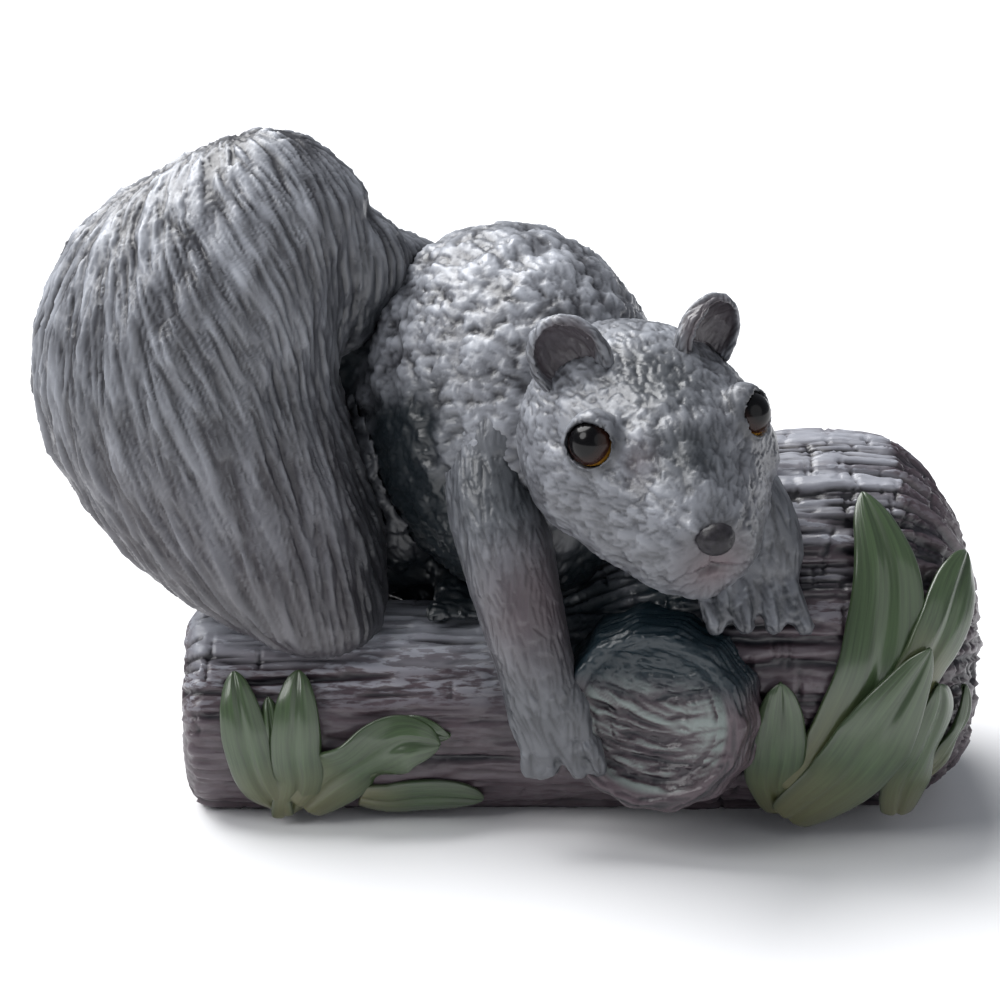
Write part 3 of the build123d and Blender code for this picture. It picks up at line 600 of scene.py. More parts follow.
def packed_points(node):
    """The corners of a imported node, in mm."""
    return np.array([vertex.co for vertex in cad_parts[node].data.vertices]) / MM


def middle(node):
    """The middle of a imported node's box, in mm."""
    low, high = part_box(node)
    return np.array((low + high) / 2) / MM


def head_axes():
    """The head's middle between the eyes, and its directions to its left, up and forward."""
    right, left, nose = middle("right_eye"), middle("left_eye"), middle("nose")
    aside = unit(left - right)
    between = (left + right) / 2
    sight = unit(nose - between - aside * ((nose - between) @ aside))
    forward = Matrix.Rotation(-NOSE_DROP, 3, Vector(aside)) @ Vector(sight)
    up = np.cross(forward, aside)
    return between, aside, up, np.array(forward)


def on_head(aside, up, forward):
    """A place on the head: mm to its left, up and forward of the middle between its eyes."""
    origin, *axes = head_axes()
    return origin + np.array(axes).T @ (aside, up, forward)


def head_spots(rows):
    """Rows of spots, moved from the head's own directions to their places."""
    return [(*on_head(*row[:3]), *row[3:]) for row in rows]


def look_of(hand):
    """The direction that an eye looks; hand is -1 for its right eye and 1 for its left."""
    _, aside, up, forward = head_axes()
    level = forward * math.cos(EYE_TURN) + aside * (hand * math.sin(EYE_TURN))
    return level * math.cos(EYE_RISE) + up * math.sin(EYE_RISE)


def round_eyes(radius, margin, strength):
    """Rows of spots round both eyes, a margin in mm past their radius in metres."""
    return [(*middle(f"{side}_eye"), radius / MM + margin, strength) for side in EYES]


# Operators

# In all of them, a row of strokes has their shape, their spacing, length, width and depth in mm and their
# spread in degrees. A row of spots has x, y and z in mm from its piece's middle, a radius and a strength.

# The corner where the tail's top ridge turns down, as a ball of clay: x, y, z and radius.
TAIL_SHOULDER = (-27, 9, 97, 10.5)
# Slant of the tail's strokes in degrees, by the share of its width from its left edge to its right, in its
# upper and lower part, and the heights in mm between which the one turns into the other.
TAIL_SLANT_HIGH = (0, 0.35, 0.55, 0.75, 0.9, 1), (2, 12, 27, 25, 8, 0)
TAIL_SLANT_LOW = (0, 0.3, 0.5, 0.8, 1), (46, 36, 20, 3, -5)
TAIL_SLANT_TURN = (50, 80)
# The tail's edges are read on its front, at levels this far apart, from bands of this half height.
TAIL_LEVELS = 4
TAIL_BAND = 2.5
TAIL_STROKES = [
    (groove, 4.2, 26, 1.7, 0.6, 3), (groove, 1.9, 17, 1.0, 0.5, 4), (groove, 1.6, 9, 0.8, 0.3, 5),
    (lock, 6.0, 10, 4.0, 0.15, 8),
]
# The painted shade on the tail's inner edge, which is turned from the light: the x in mm over which it comes
# in, the shares of the tail's height over which it fades out, from below, and its strength.
TAIL_INNER = (-33, -23)
TAIL_INNER_TOP = (0.8, 0.8 - 1 / 6)
TAIL_INNER_SHADE = 0.75
# The share of the tail's height below which the painted shade and the warm tone come in, and how strong they
# get.
TAIL_LOW = 0.5
TAIL_LOW_SHADE = 0.38
TAIL_LOW_WARMTH = 0.35


def tail_ways(places):
    """The coat sweeps from the top ridge to the tip: straight down at the sides, slanting across the front.
    """
    front = places[places[:, 1] < 0]
    levels = np.arange(front[:, 2].min() + TAIL_LEVELS / 2, front[:, 2].max(), TAIL_LEVELS)
    bands = [front[np.abs(front[:, 2] - level) < TAIL_BAND, 0] for level in levels]
    left = np.interp(places[:, 2], levels, [band.min() for band in bands])
    right = np.interp(places[:, 2], levels, [band.max() for band in bands])
    share = np.clip((places[:, 0] - left) / np.maximum(right - left, 1), 0, 1)
    high = np.interp(share, *TAIL_SLANT_HIGH)
    low = np.interp(share, *TAIL_SLANT_LOW)
    turn = np.radians(low + (high - low) * ramp(places[:, 2], *TAIL_SLANT_TURN))
    return np.stack([np.sin(turn), np.zeros_like(turn), -np.cos(turn)], axis=1)


class FIGURINE_OT_tail(Operator):
    """Sculpt the plume tail with its long strokes"""
    bl_idname = "figurine.tail"
    bl_label = "Tail"

    def execute(self, context):
        settings = context.scene.figurine.fur
        piece = cast_copy("tail_fur", "tail", settings.grain, passes=10, lumps=[ball(*TAIL_SHOULDER)])
        work = Sculptor(piece, tail_ways, seed=11)
        work.cover(TAIL_STROKES)
        low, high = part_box("tail")
        top = (work.places[:, 2] * MM - low.z) / (high.z - low.z)
        # painted shade on the inner edge, turned from the light, and darker towards the bottom
        inner = ramp(work.places[:, 0], *TAIL_INNER) * ramp(top, *TAIL_INNER_TOP)
        low_shade = np.clip(TAIL_LOW - top, 0, TAIL_LOW_SHADE)
        tint(piece, "painted_shade", np.maximum(inner * TAIL_INNER_SHADE, low_shade))
        tint(piece, "rosy", np.clip(TAIL_LOW - top, 0, TAIL_LOW_WARMTH))
        work.finish(even=0.1)
        finish_piece(piece, dry_brushed_polyresin, settings, "tail")
        return {"FINISHED"}


# Clay behind the tail's inner edge, as a ball: x, y, z and radius.
FLANK = (-27, 12, 77, 8)
TORSO_STROKES = [
    (lock, 3.8, 7.5, 3.4, 0.45, 25), (lock, 2.1, 4.8, 1.8, 0.3, 25), (pit, 4.6, 3.0, 2.2, 0.25, 90),
    (groove, 1.6, 4.6, 0.8, 0.3, 15),
]
# Painted shade on the torso's lower front and flank, where light hardly reaches.
TORSO_SHADE = [
    (-20, -18, -4, 15, 1.3), (-15, -22, -17, 18, 2.0), (-12, -22, -30, 18, 2.0), (-15, -21, 0, 12, 1.3),
    (-8, -22, -26, 15, 1.5), (18, -22, -24, 22, 1.5), (-28, 3, 6, 12, 2.0),
]
# The painted shade in the hollow between the tail and the near foreleg: the corner where it begins, in mm
# from the torso's middle, the mm over which it comes in, to the left, forward and down, and its strength.
HOLLOW = (-1, 8, -3)
HOLLOW_FADE = (8, 8, 12)
HOLLOW_SHADE = 0.9


class FIGURINE_OT_torso(Operator):
    """Sculpt the hunched torso with its choppy tufts"""
    bl_idname = "figurine.torso"
    bl_label = "Torso"

    def execute(self, context):
        settings = context.scene.figurine.fur
        piece = cast_copy("torso_fur", "torso", settings.grain, passes=12, lumps=[ball(*FLANK)])
        work = Sculptor(piece, away_from(*on_head(0, 0, 0)), seed=21)
        work.cover(TORSO_STROKES)
        centre = middle("torso")
        # painted shade in the hollow and in the spots
        hollow = np.clip((centre + HOLLOW - work.places) / HOLLOW_FADE, 0, 1).prod(axis=1)
        shade = spots(work.places, around(centre, TORSO_SHADE))
        tint(piece, "painted_shade", np.maximum(hollow * HOLLOW_SHADE, shade))
        tint(piece, "rosy", np.zeros(len(work.places)))
        work.finish(even=0.25)
        finish_piece(piece, dry_brushed_polyresin, settings, "torso")
        return {"FINISHED"}


# Swells and hollows of the face, each on both sides: aside, up, forward, radius and height.
FACE_PAIRS = [
    (12, 7, -3, 5, 1.0), (6.5, 4, 5, 5, 0.8), (17, 2, -9, 5, 0.6), (17, -12, -4, 10, 1.4),
    (11, -15, 5, 7, 0.8), (8, -3, 8, 5, -0.8), (4.5, -13, 18.5, 4.5, 0.9), (9, -9, 13, 5, -0.5),
    (3.6, -5.5, 20, 2.6, 0.6),
]
# The same along its middle: the bridge of the nose, the groove below the pad and the chin.
FACE_MIDDLE = [
    (0, 3, 6, 5, 0.9), (0, 0, 10, 4, 1.0), (0, -2.5, 14, 4, 1.0), (0, 7, -8, 9, -0.6),
    (0, -10, 22, 1.6, -1.0), (0, -12, 21.6, 1.6, -1.0), (0, -18, 17, 5, 0.9),
]
# The mouth, as a row of small hollows that drops and runs back on both sides.
MOUTH = [
    (side * x, -13.6 - 0.05 * x * x, 21 - 0.3 * x, 1.7, -0.9)
    for side in (-1, 1) for x in (0.3, 1.3, 2.4, 3.6, 4.8)
]
HEAD_TUFTS = [(lock, 2.8, 4.6, 2.0, 0.2, 22), (pit, 3.4, 1.8, 1.4, 0.14, 90)]
HEAD_LINES = [(groove, 1.25, 3.0, 0.7, 0.2, 16)]
# The painted shade under the jaw, on the crown and between the eyes, and the warm tone on the muzzle and at
# the near eye's corner: aside, up, forward, radius and strength.
HEAD_SHADE = [
    (-12, -24, -6, 10, 0.6), (10, -24, -6, 10, 0.6), (0, 6, -7, 14, 0.8), (0, 1, 9, 10, 0.75),
    (0, -5, 15, 6, 0.45),
]
HEAD_WARMTH = [(0, -13, 21, 7, 1.0), (-7, -1, 6, 4, 0.6), (-7, -4, 7, 4, 0.5)]
# The least painted shade anywhere on the head.
HEAD_LEAST_SHADE = 0.1
# Radius and strength of the painted shade in the mouth; margin in mm and strength of the painted shade round
# the eyes, as the lids' shadow, and of the skin there that the strokes leave bare.
MOUTH_SHADE = (1.1, 0.7)
LID_SHADE = (1.8, 1.2)
LID_BARE = (1, 2)
# The place on the head that its coat sweeps away from: aside, up and forward.
HEAD_SWEEP = (0, -5, 30)


class FIGURINE_OT_head(Operator):
    """Sculpt the head with its cheeks, brows, lids and muzzle"""
    bl_idname = "figurine.head"
    bl_label = "Head"

    def execute(self, context):
        settings = context.scene.figurine.fur
        radius = context.scene.figurine.eye.radius
        lids = [ball(*middle(f"{side}_eye"), (radius + settings.lid) / MM) for side in EYES]
        piece = cast_copy("head_fur", "head", settings.fine_grain, passes=12, lumps=lids)
        for side, hand in EYES.items():
            opening(piece, middle(f"{side}_eye"), look_of(hand), radius)
        # the clay is made one skin again, a little coarser, where the openings cut it
        modify(piece, "REMESH", mode="VOXEL", voxel_size=settings.fine_grain * 1.15)
        modify(piece, "SMOOTH", factor=0.5, iterations=2)
        work = Sculptor(piece, away_from(*on_head(*HEAD_SWEEP)), seed=31)
        for row in FACE_PAIRS:
            work.swell_on_head([row, (-row[0], *row[1:])])
        work.swell_on_head(FACE_MIDDLE + MOUTH)
        eyes = spots(work.places, round_eyes(radius, *LID_BARE))
        work.cover(HEAD_TUFTS, 1 - eyes)
        work.cover(HEAD_LINES, 1 - 0.7 * eyes)
        # painted shade in the mouth, under the jaw, on the brow and under the lids
        dark = head_spots([(*row[:3], *MOUTH_SHADE) for row in MOUTH] + HEAD_SHADE)
        shade = spots(work.places, dark + round_eyes(radius, *LID_SHADE))
        tint(piece, "painted_shade", np.maximum(shade, HEAD_LEAST_SHADE))
        tint(piece, "rosy", spots(work.places, head_spots(HEAD_WARMTH)))
        work.finish(even=0.45)
        finish_piece(piece, dry_brushed_polyresin, settings, "head")
        return {"FINISHED"}


# How far each ear is moved aside in mm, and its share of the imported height.
EAR_FIT = {"right": (1.2, 0.96), "left": (0.0, 0.88)}
# The ear's cup: the flattening that makes its oval round, its radii where it begins and is full, and its
# depth. It lies on the side that faces forward, by the normal's y.
EAR_OVAL = (0.9, 0.3, 0.72)
EAR_CUP = (5, 4)
EAR_FRONT = (0, -0.25)
EAR_DEPTH = 0.7
EAR_WARMTH = 0.7
# How dark the painted shade inside the cup is.
EAR_SHADE = 0.4
# An ear's grain, as a share of the fine grain, and the place on the head that its coat sweeps away from.
EAR_GRAIN = 0.8
EAR_SWEEP = (0, -10, -10)
EAR_STROKES = [(groove, 1.2, 4, 0.7, 0.22, 12)]


class FIGURINE_OT_ears(Operator):
    """Sculpt the two hollow ears"""
    bl_idname = "figurine.ears"
    bl_label = "Ears"

    def execute(self, context):
        settings = context.scene.figurine.fur
        for number, side in enumerate(EYES):
            piece = cast_copy(f"{side}_ear_fur", f"{side}_ear", settings.fine_grain * EAR_GRAIN, passes=4)
            aside, tall = EAR_FIT[side]
            places = skin(piece)[0]
            root = places.min(axis=0)
            reshape(piece, (places - root) * (1, 1, tall) + root + (aside, 0, 0))
            work = Sculptor(piece, away_from(*on_head(*EAR_SWEEP)), seed=41 + number)
            far = np.linalg.norm((work.places - work.places.mean(axis=0)) * EAR_OVAL, axis=1)
            inside = ramp(far, *EAR_CUP) * ramp(work.normals[:, 1], *EAR_FRONT)
            work.places = work.places - work.normals * (inside * EAR_DEPTH)[:, None]
            work.cover(EAR_STROKES)
            tint(piece, "rosy", inside * EAR_WARMTH)
            # painted shade inside the cup
            tint(piece, "painted_shade", inside * EAR_SHADE)
            work.finish(even=0.3)
            finish_piece(piece, dry_brushed_polyresin, settings, f"{side}_ear")
        return {"FINISHED"}


# The painted pupils sit this far aside and up of where the eyes look, so the iris shows below them.
PUPIL_SHIFT = np.array((-0.25, 0, 0.35))


class FIGURINE_OT_eyes(Operator):
    """Model the two glass eyes"""
    bl_idname = "figurine.eyes"
    bl_label = "Eyes"

    def execute(self, context):
        settings = context.scene.figurine.eye
        for side, hand in EYES.items():
            centre = middle(f"{side}_eye")
            bpy.ops.object.select_all(action="DESELECT")
            bpy.ops.mesh.primitive_uv_sphere_add(segments=64, ring_count=32, radius=settings.radius)
            piece = bpy.context.object
            piece.name = piece.data.name = f"{side}_eye_glass"
            turn = Vector(look_of(hand)).to_track_quat("Z", "Y").to_matrix().to_4x4()
            set_down(piece, Matrix.Translation(Vector(centre) * MM) @ turn)
            places = skin(piece)[0]
            facing = unit(places - centre) @ unit(look_of(hand) + PUPIL_SHIFT)
            tint(piece, "rim", np.clip(np.arccos(np.clip(facing, -1, 1)) / (math.pi / 2), 0, 1))
            finish_piece(piece, painted_glass_eye, settings, f"{side}_eye")
        return {"FINISHED"}


# The nose pad's swell and its two nostrils, on the head: aside, up, forward, radius and height.
NOSE_FORMS = [(0, -7, 25, 6, 0.5), (-2.4, -7, 24, 1.1, -0.5), (2.4, -7, 24, 1.1, -0.5)]


class FIGURINE_OT_nose(Operator):
    """Sculpt the nose pad"""
    bl_idname = "figurine.nose"
    bl_label = "Nose"

    def execute(self, context):
        settings = context.scene.figurine.eye
        piece = cast_copy("nose_pad_gloss", "nose", settings.nose_grain, passes=4)
        work = Sculptor(piece, away_from(*on_head(0, 0, 0)), seed=45)
        work.swell_on_head(NOSE_FORMS)
        work.finish()
        finish_piece(piece, gloss_nose_polyresin, settings, "nose")
        return {"FINISHED"}


# The way that each foreleg reaches from its shoulder to its toes.
FORELEG_WAYS = {"right": (0.22, -0.4, -0.9), "left": (0.3, -0.6, -0.75)}
# Heights in mm above a foreleg's lowest point, between which its paw lies and below which its toes do.
PAW_LEVELS = (5, 11)
TOE_LEVEL = 4
# Toes stand at least this far apart.
TOE_GAP = 0.9
# Half sizes of the clay on a paw, radius of the clay on a toe, and how far back from its tip each ball lies.
PAW = (5.4, 2.4, 3.6)
TOE = 1.75
TOE_STEPS = (0, 2.2, 4.4)
# The shoulder that the near foreleg grows from: x, y, z and half sizes.
SHOULDER = (1, -17, 69, 9.5, 8, 11)
# The clefts between the toes: their shift forward, steps back, radius and height, and the radius and strength
# of the painted shade in them.
CLEFT_SHIFT = (0, -2, 0)
CLEFT_STEPS = range(-2, 8)
CLEFT = (1.0, -0.3)
CLEFT_SHADE = (1.3, 0.7)
FORELEG_STROKES = [(lock, 3.4, 6, 2.4, 0.14, 16), (groove, 1.6, 4.5, 0.8, 0.2, 12)]
# Painted shade on the upper foreleg, and the least painted shade anywhere on a foreleg.
FORELEG_SHADE = [(-4, 4, 22, 16, 0.75)]
FORELEG_LEAST_SHADE = 0.3
# The warm tone inside each foreleg.
FORELEG_WARMTH = {"right": [(2, -8, 4, 14, 0.9)], "left": []}


def toe_tips(points):
    """The middle of each toe's end, from the lowest points of a packed foreleg."""
    points = points[points[:, 0].argsort()]
    gaps = np.flatnonzero(np.diff(points[:, 0]) > TOE_GAP) + 1
    return [group.mean(axis=0) for group in np.split(points, gaps)]


class FIGURINE_OT_forelegs(Operator):
    """Sculpt the two forelegs with their paws"""
    bl_idname = "figurine.forelegs"
    bl_label = "Forelegs"

    def execute(self, context):
        for number, side in enumerate(FORELEG_WAYS):
            self.sculpt(context.scene.figurine.fur, side, 51 + number)
        return {"FINISHED"}

    def sculpt(self, settings, side, seed):
        """One foreleg: clay on its paw and toes, clefts between them, and its coat."""
        node = f"{side}_foreleg"
        way = unit(np.array(FORELEG_WAYS[side]))
        points = packed_points(node)
        height = points[:, 2] - points[:, 2].min()
        paw = points[(height > PAW_LEVELS[0]) & (height < PAW_LEVELS[1])].mean(axis=0)
        toes = toe_tips(points[height < TOE_LEVEL])
        lumps = [ball(*paw, *PAW)] + [ball(*(toe - way * back), TOE) for toe in toes for back in TOE_STEPS]
        if side == "right":
            lumps.append(ball(*SHOULDER))
        piece = cast_copy(f"{node}_fur", node, settings.fine_grain, passes=4, lumps=lumps)
        work = Sculptor(piece, way, seed)
        between = [(a + b) / 2 + CLEFT_SHIFT for a, b in zip(toes, toes[1:])]
        clefts = [place - way * back for place in between for back in CLEFT_STEPS]
        for cleft in clefts:
            work.swell(cleft, *CLEFT)
        work.cover(FORELEG_STROKES)
        centre = middle(node)
        tint(piece, "rosy", spots(work.places, around(centre, FORELEG_WARMTH[side])))
        # painted shade in the clefts and on the upper foreleg
        shade = [(*cleft, *CLEFT_SHADE) for cleft in clefts] + around(centre, FORELEG_SHADE)
        tint(piece, "painted_shade", np.maximum(spots(work.places, shade), FORELEG_LEAST_SHADE))
        work.finish(even=0.5)
        finish_piece(piece, dry_brushed_polyresin, settings, node)


# Clay under each haunch: x, y, z and radius.
HAUNCHES = {"right": [(-13, 6, 34.5, 5.5)], "left": []}
# How strong the painted shade is on each hind leg, the heights in mm over which it deepens towards the bottom
# and by how much at most, and how strong the warm tone is.
HIND_SHADE = {"right": 0.75, "left": 0.0}
HIND_LOW = (46, 38)
HIND_LOW_SHADE = 0.5
HIND_WARMTH = 0.15
# A hind leg's grain, as a share of the fine grain.
HIND_GRAIN = 1.2
HIND_STROKES = [(lock, 3.0, 5, 2.8, 0.5, 35), (groove, 1.8, 3.6, 0.8, 0.25, 20)]


class FIGURINE_OT_hind_legs(Operator):
    """Sculpt the two hind legs"""
    bl_idname = "figurine.hind_legs"
    bl_label = "Hind Legs"

    def execute(self, context):
        settings = context.scene.figurine.fur
        for number, (side, lumps) in enumerate(HAUNCHES.items()):
            node = f"{side}_hind_leg"
            lumps = [ball(*lump) for lump in lumps]
            piece = cast_copy(f"{node}_fur", node, settings.fine_grain * HIND_GRAIN, passes=7, lumps=lumps)
            work = Sculptor(piece, away_from(*middle("tail")), seed=61 + number)
            work.cover(HIND_STROKES)
            # painted shade, darker towards the bottom
            low = np.minimum(ramp(work.places[:, 2], *HIND_LOW), HIND_LOW_SHADE)
            tint(piece, "painted_shade", HIND_SHADE[side] + low)
            tint(piece, "rosy", np.full(len(work.places), HIND_WARMTH))
            work.finish(even=0.3)
            finish_piece(piece, dry_brushed_polyresin, settings, node)
        return {"FINISHED"}


# The x in mm over which the thin limb becomes the thick trunk, and the share of the trunk's deep cracks that
# the limb has.
TRUNK = (15, 40)
LIMB_CRACKS = 0.2
LOG_CRACKS = [(groove, 6.0, 26, 1.8, 1.2, 2)]
LOG_GRAIN = [(groove, 3.0, 14, 1.2, 0.6, 3), (groove, 1.9, 7, 0.9, 0.3, 4)]
LOG_CROSS_CRACKS = [(groove, 6.0, 5.5, 1.0, 0.8, 10)]
# The teal-black painted shade round the stub, where the head shades the log.
LOG_SHADE = [(-14, 12, 12, 24, 0.9), (0, 4, 24, 18, 1.0), (-34, 26, 12, 14, 0.6)]


class FIGURINE_OT_log(Operator):
    """Sculpt the bark log"""
    bl_idname = "figurine.log"
    bl_label = "Log"

    def execute(self, context):
        settings = context.scene.figurine.bark
        piece = cast_copy("log_bark", "log", settings.grain, passes=3)
        work = Sculptor(piece, (1, 0, 0), seed=71)
        trunk = np.maximum(ramp(work.places[:, 0], *TRUNK), LIMB_CRACKS)
        work.cover(LOG_CRACKS, trunk)
        work.cover(LOG_GRAIN)
        work.turn_ways()
        work.cover(LOG_CROSS_CRACKS, trunk)
        # painted shade: teal-black round the stub
        tint(piece, "painted_shade", spots(work.places, around(middle("branch_stub"), LOG_SHADE)))
        work.finish(above_floor)
        finish_piece(piece, varnished_bark_polyresin, settings, "log")
        return {"FINISHED"}


# The way that the stub points, the radius of its sawn face inside the rim, and where the rings' heart is.
STUB_WAY = np.array((-0.249, -0.964, 0.096))
STUB_FACE = 13.6
STUB_RINGS = (4, 0, 18)
# The mm behind the foremost point in which the face's middle is sought. The mm along the stub, and those
# inside the rim, over which the face's paint and its dish come in.
STUB_FRONT = 4
FACE_DEPTH = (-5, -3)
FACE_RIM = (0, 1)
DISH_DEPTH = (-4, -2)
DISH_RIM = (0, 2.5)
DISH = 1.6
# The heights in mm above the face's middle over which the teal-black painted shade comes in, where the head
# shades the stub.
STUB_TOP = (2, 8)
STUB_STROKES = [(groove, 3.4, 16, 1.6, 0.5, 3), (groove, 1.8, 9, 0.9, 0.35, 4)]


class FIGURINE_OT_stub(Operator):
    """Sculpt the sawn stub"""
    bl_idname = "figurine.stub"
    bl_label = "Stub"

    def execute(self, context):
        settings = context.scene.figurine.bark
        piece = cast_copy("stub_wood_face", "branch_stub", settings.stub_grain, passes=4)
        places = skin(piece)[0]
        front = places @ STUB_WAY
        face_middle = places[front > front.max() - STUB_FRONT].mean(axis=0)
        offset = places - face_middle
        depth = offset @ STUB_WAY
        radial = offset - np.outer(depth, STUB_WAY)
        inside = STUB_FACE - np.linalg.norm(radial, axis=1)
        face = ramp(inside, *FACE_RIM) * ramp(depth, *FACE_DEPTH)
        dish = ramp(inside, *DISH_RIM) * ramp(depth, *DISH_DEPTH)
        reshape(piece, places - np.outer(dish, STUB_WAY) * DISH)
        rings = np.cross(STUB_WAY, radial - STUB_RINGS)
        ways = np.where(face[:, None] > 0.5, rings, np.cross(STUB_WAY, radial))
        work = Sculptor(piece, ways, seed=81)
        work.cover(STUB_STROKES)
        tint(piece, "face", face)
        # painted shade, darker towards the top
        tint(piece, "painted_shade", ramp(offset[:, 2], *STUB_TOP))
        work.finish(above_floor)
        finish_piece(piece, weathered_wood_polyresin, settings, "branch_stub")
        return {"FINISHED"}


# Where the two sprigs grow from, in mm.
SPRIGS = {"left": (-36, -24, 0), "right": (62, -30, 0)}
LEAVES = {
    "left": ("outer", "tall", "small", "arched", "behind", "low"),
    "right": ("inner", "front", "tall", "upper", "outer", "behind"),
}
# Width of a blade from its base to its tip, by the share of its length.
BLADE_PLACES = (0, 0.12, 0.35, 0.6, 0.78, 0.9, 0.97, 1)
BLADE_WIDTHS = (0.62, 0.82, 1.0, 1.0, 0.82, 0.52, 0.22, 0.03)
# The blades that are wider than their solids' boxes tell.
BLADE_FULLNESS = {"left_leaf_arched": 1.3, "left_leaf_low": 1.4}
# How far a blade's middle stands off the bark, and the depth and half width of the crease along it: the
# first two in mm, the last as a share of the half blade.
BLADE_CROWN = 1.1
CREASE_DEPTH = 0.8
CREASE_WIDTH = 0.11
# Steps of a blade's run between two of its stops, and its faces across and along before it is rounded.
BLADE_STEPS = 6
BLADE_GRID = (10, 20)
# The shares of a packed leaf's length where its stops lie, and the half widths of the bands, as shares of its
# length, in which its middle and its width are read.
STOP_SHARES = (0.25, 0.5, 0.75)
STOP_BAND = 0.12
WIDTH_BAND = 0.2


def blade_stops(node, root):
    """Places along the middle of a packed leaf, from its base at the root to its tip, and its width."""
    points = packed_points(node)
    axis = np.linalg.svd(points - points.mean(axis=0), full_matrices=False)[2][0]
    place = points @ axis
    ends = points[place.argmin()], points[place.argmax()]
    if np.linalg.norm(ends[0] - root) > np.linalg.norm(ends[1] - root):
        place = -place
        ends = ends[::-1]
    share = (place - place.min()) / (place.max() - place.min())
    stops = [ends[0]]
    for wanted in STOP_SHARES:
        near = points[np.abs(share - wanted) < STOP_BAND]
        stops.append((near.min(axis=0) + near.max(axis=0)) / 2)
    stops.append(ends[1])
    way = unit(stops[3] - stops[1])
    around_middle = points[np.abs(share - 0.5) < WIDTH_BAND] - stops[2]
    side = unit(np.cross(way, bark_normals([stops[2]])[0]))
    return stops, np.ptp(around_middle @ side)


def bark_normals(places):
    """The directions off the bark nearest to these places."""
    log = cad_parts["log"].data
    bark = BVHTree.FromPolygons([v.co for v in log.vertices], [tuple(f.vertices) for f in log.polygons])
    return np.array([bark.find_nearest(Vector(place) * MM)[1] for place in places])


def blade(name, stops, width, thickness):
    """A plump creased blade along places on the bark, from a grid that is bent, thickened and rounded."""
    bpy.ops.object.select_all(action="DESELECT")
    bpy.ops.mesh.primitive_grid_add(x_subdivisions=BLADE_GRID[0], y_subdivisions=BLADE_GRID[1], size=2)
    piece = bpy.context.object
    piece.name = piece.data.name = name
    piece.data.uv_layers[0].name = "blade"
    run = smooth_run(stops, BLADE_STEPS)
    ways = unit(np.gradient(run, axis=0))
    normals = lie_flat(smooth_run(bark_normals(stops), BLADE_STEPS), ways)
    sides = np.cross(ways, normals)
    grid = skin(piece)[0] * MM
    share = (grid[:, 1] + 1) / 2
    across = grid[:, 0]

    def at(table):
        """The table's rows at each point's share of the run."""
        steps = share * (len(run) - 1)
        return np.stack([np.interp(steps, range(len(run)), column) for column in table.T], axis=1)

    outline = np.interp(share, BLADE_PLACES, BLADE_WIDTHS)
    crown = BLADE_CROWN * (1 - across ** 2) - CREASE_DEPTH * np.exp(-(across / CREASE_WIDTH) ** 2)
    lift = crown * np.minimum(outline * 1.5, 1)
    aside = across * width / 2 * outline
    reshape(piece, at(run) + at(sides) * aside[:, None] + at(normals) * lift[:, None])
    modify(piece, "SOLIDIFY", thickness=thickness, offset=-1)
    modify(piece, "SUBSURF", levels=2, render_levels=2)
    reshape(piece, above_floor(skin(piece)[0]))
    return piece


class FIGURINE_OT_leaves(Operator):
    """Model the leaves of the two sprigs"""
    bl_idname = "figurine.leaves"
    bl_label = "Leaves"

    def execute(self, context):
        settings = context.scene.figurine.leaf
        for sprig, names in LEAVES.items():
            for name in names:
                node = f"{sprig}_leaf_{name}"
                stops, width = blade_stops(node, np.array(SPRIGS[sprig]))
                full = BLADE_FULLNESS.get(node, 1.0)
                piece = blade(f"{node}_blade", stops, width * full, settings.thickness)
                finish_piece(piece, green_enamel_polyresin, settings, node)
        return {"FINISHED"}


# Each lamp's direction, its width in degrees and its strength: a broad window above and behind, a weaker one
# to the left, and the room's bounce on the right.
LAMPS = [
    ((-0.45, 0.35, 0.85), 50, 4.3),
    ((-0.70, -0.35, 0.63), 30, 1.1),
    ((0.62, -0.68, 0.38), 60, 0.45),
]
# Strength of the light that the room gives from all sides.
ROOM_LIGHT = 0.26
# Sides of the paper and width of the picture at the figurine, in metres, and width of the sensor in mm.
PAPER = 8
PICTURE = 0.185
SENSOR = 36


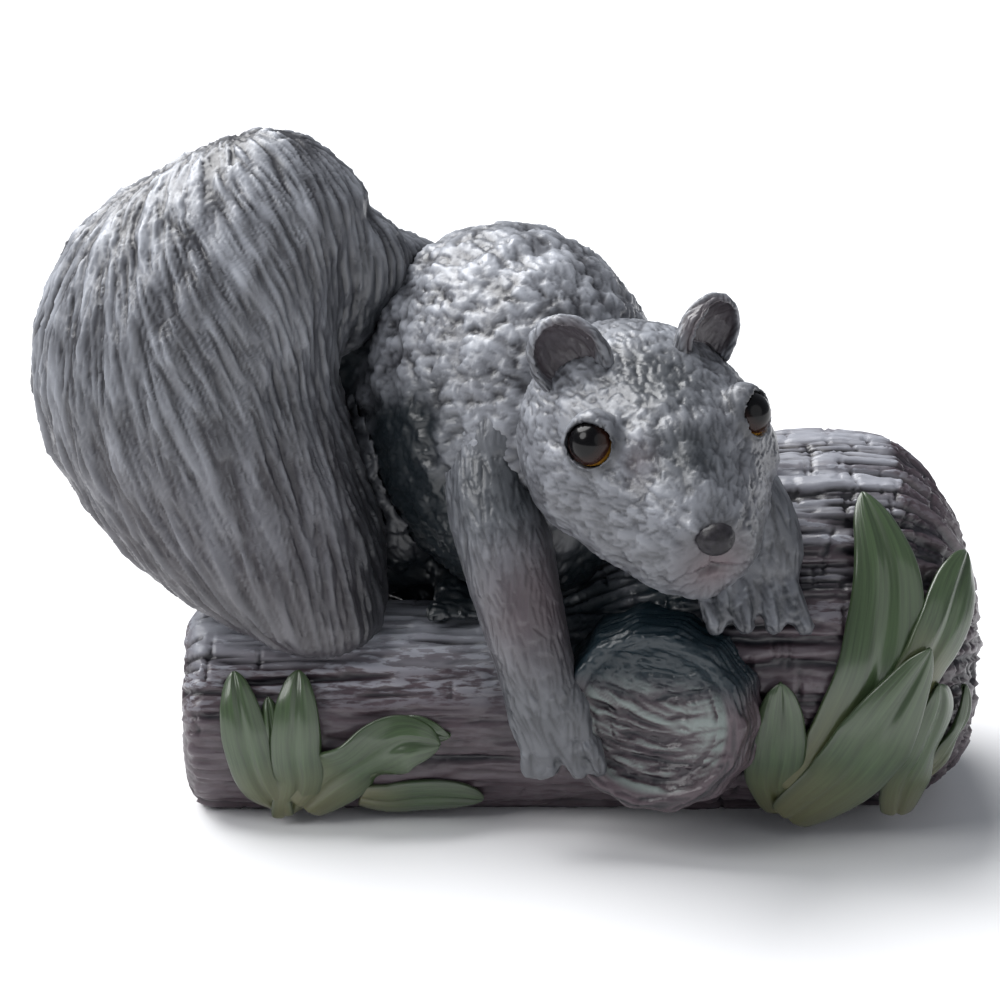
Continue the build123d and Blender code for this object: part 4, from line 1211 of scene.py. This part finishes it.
class FIGURINE_OT_stage(Operator):
    """Set up the floor, lamps, background and camera"""
    bl_idname = "figurine.stage"
    bl_label = "Stage"

    def execute(self, context):
        settings = context.scene.figurine.stage
        context.scene.view_settings.view_transform = "Standard"
        self.add_floor(settings)
        self.add_camera(context.scene, settings)
        for way, angle, strength in LAMPS:
            bpy.ops.object.light_add(type="SUN", rotation=Vector(way).to_track_quat("Z", "Y").to_euler())
            lamp = bpy.context.object.data
            lamp.angle = math.radians(angle)
            lamp.energy = strength
        self.add_room(context.scene, settings)
        return {"FINISHED"}

    def add_floor(self, settings):
        """The sheet of paper under the figurine."""
        bpy.ops.object.select_all(action="DESELECT")
        bpy.ops.mesh.primitive_plane_add(size=PAPER, location=(0, 0, 0))
        floor = bpy.context.object
        floor.name = "paper_floor"
        floor.data.materials.append(painted(matt_paper, settings))

    def add_camera(self, scene, settings):
        """The camera of the photograph, in front and a little above."""
        target = Vector((0, 0, settings.target))
        away = Vector((0, -math.cos(settings.elevation), math.sin(settings.elevation)))
        bpy.ops.object.camera_add(location=target + away * settings.distance)
        camera = bpy.context.object
        camera.rotation_euler = away.to_track_quat("Z", "Y").to_euler()
        camera.data.lens = SENSOR * settings.distance / PICTURE
        camera.data.clip_start = 0.01
        scene.camera = camera

    def add_room(self, scene, settings):
        """White behind the figurine, and the room's soft light on it."""
        world = bpy.data.worlds.new("studio")
        scene.world = world
        world.use_nodes = True
        world.node_tree.nodes.clear()
        add = partial(add_node, world.node_tree)
        path = add("LightPath")
        rays = path["Is Camera Ray"], path["Is Transmission Ray"]
        seen = add("Math", rays, operation="MAXIMUM")[0]
        room = add("Background", (settings.room, ROOM_LIGHT))[0]
        white = add("Background", (linear("#ffffff"), 1.0))[0]
        both = add("MixShader", (seen, room, white))[0]
        add("OutputWorld", [both])


STEPS = (
    FIGURINE_OT_log, FIGURINE_OT_stub, FIGURINE_OT_leaves, FIGURINE_OT_tail, FIGURINE_OT_torso,
    FIGURINE_OT_hind_legs, FIGURINE_OT_head, FIGURINE_OT_ears, FIGURINE_OT_eyes, FIGURINE_OT_nose,
    FIGURINE_OT_forelegs, FIGURINE_OT_stage,
)


class FIGURINE_PT_panel(Panel):
    """The figurine's steps and settings"""
    bl_label = "Figurine"
    bl_idname = "FIGURINE_PT_panel"
    bl_space_type = "VIEW_3D"
    bl_region_type = "UI"
    bl_category = "Figurine"

    def draw(self, context):
        for step in STEPS:
            self.layout.operator(step.bl_idname)
        settings = context.scene.figurine
        for group in (settings.fur, settings.bark, settings.leaf, settings.eye, settings.stage):
            box = self.layout.box()
            for key in group.bl_rna.properties.keys():
                if key not in ("rna_type", "name"):
                    box.prop(group, key)


GROUPS = (FurSettings, BarkSettings, LeafSettings, EyeSettings, StageSettings, FigurineSettings)


def register():
    """Registers the settings, the steps and the panel."""
    for item in GROUPS + STEPS + (FIGURINE_PT_panel,):
        bpy.utils.register_class(item)
    bpy.types.Scene.figurine = PointerProperty(type=FigurineSettings)


def unregister():
    """Takes them away again."""
    del bpy.types.Scene.figurine
    for item in reversed(GROUPS + STEPS + (FIGURINE_PT_panel,)):
        bpy.utils.unregister_class(item)


def main():
    """Runs every step in order."""
    register()
    for step in STEPS:
        group, name = step.bl_idname.split(".")
        getattr(getattr(bpy.ops, group), name)()


if __name__ == "__main__":
    main()
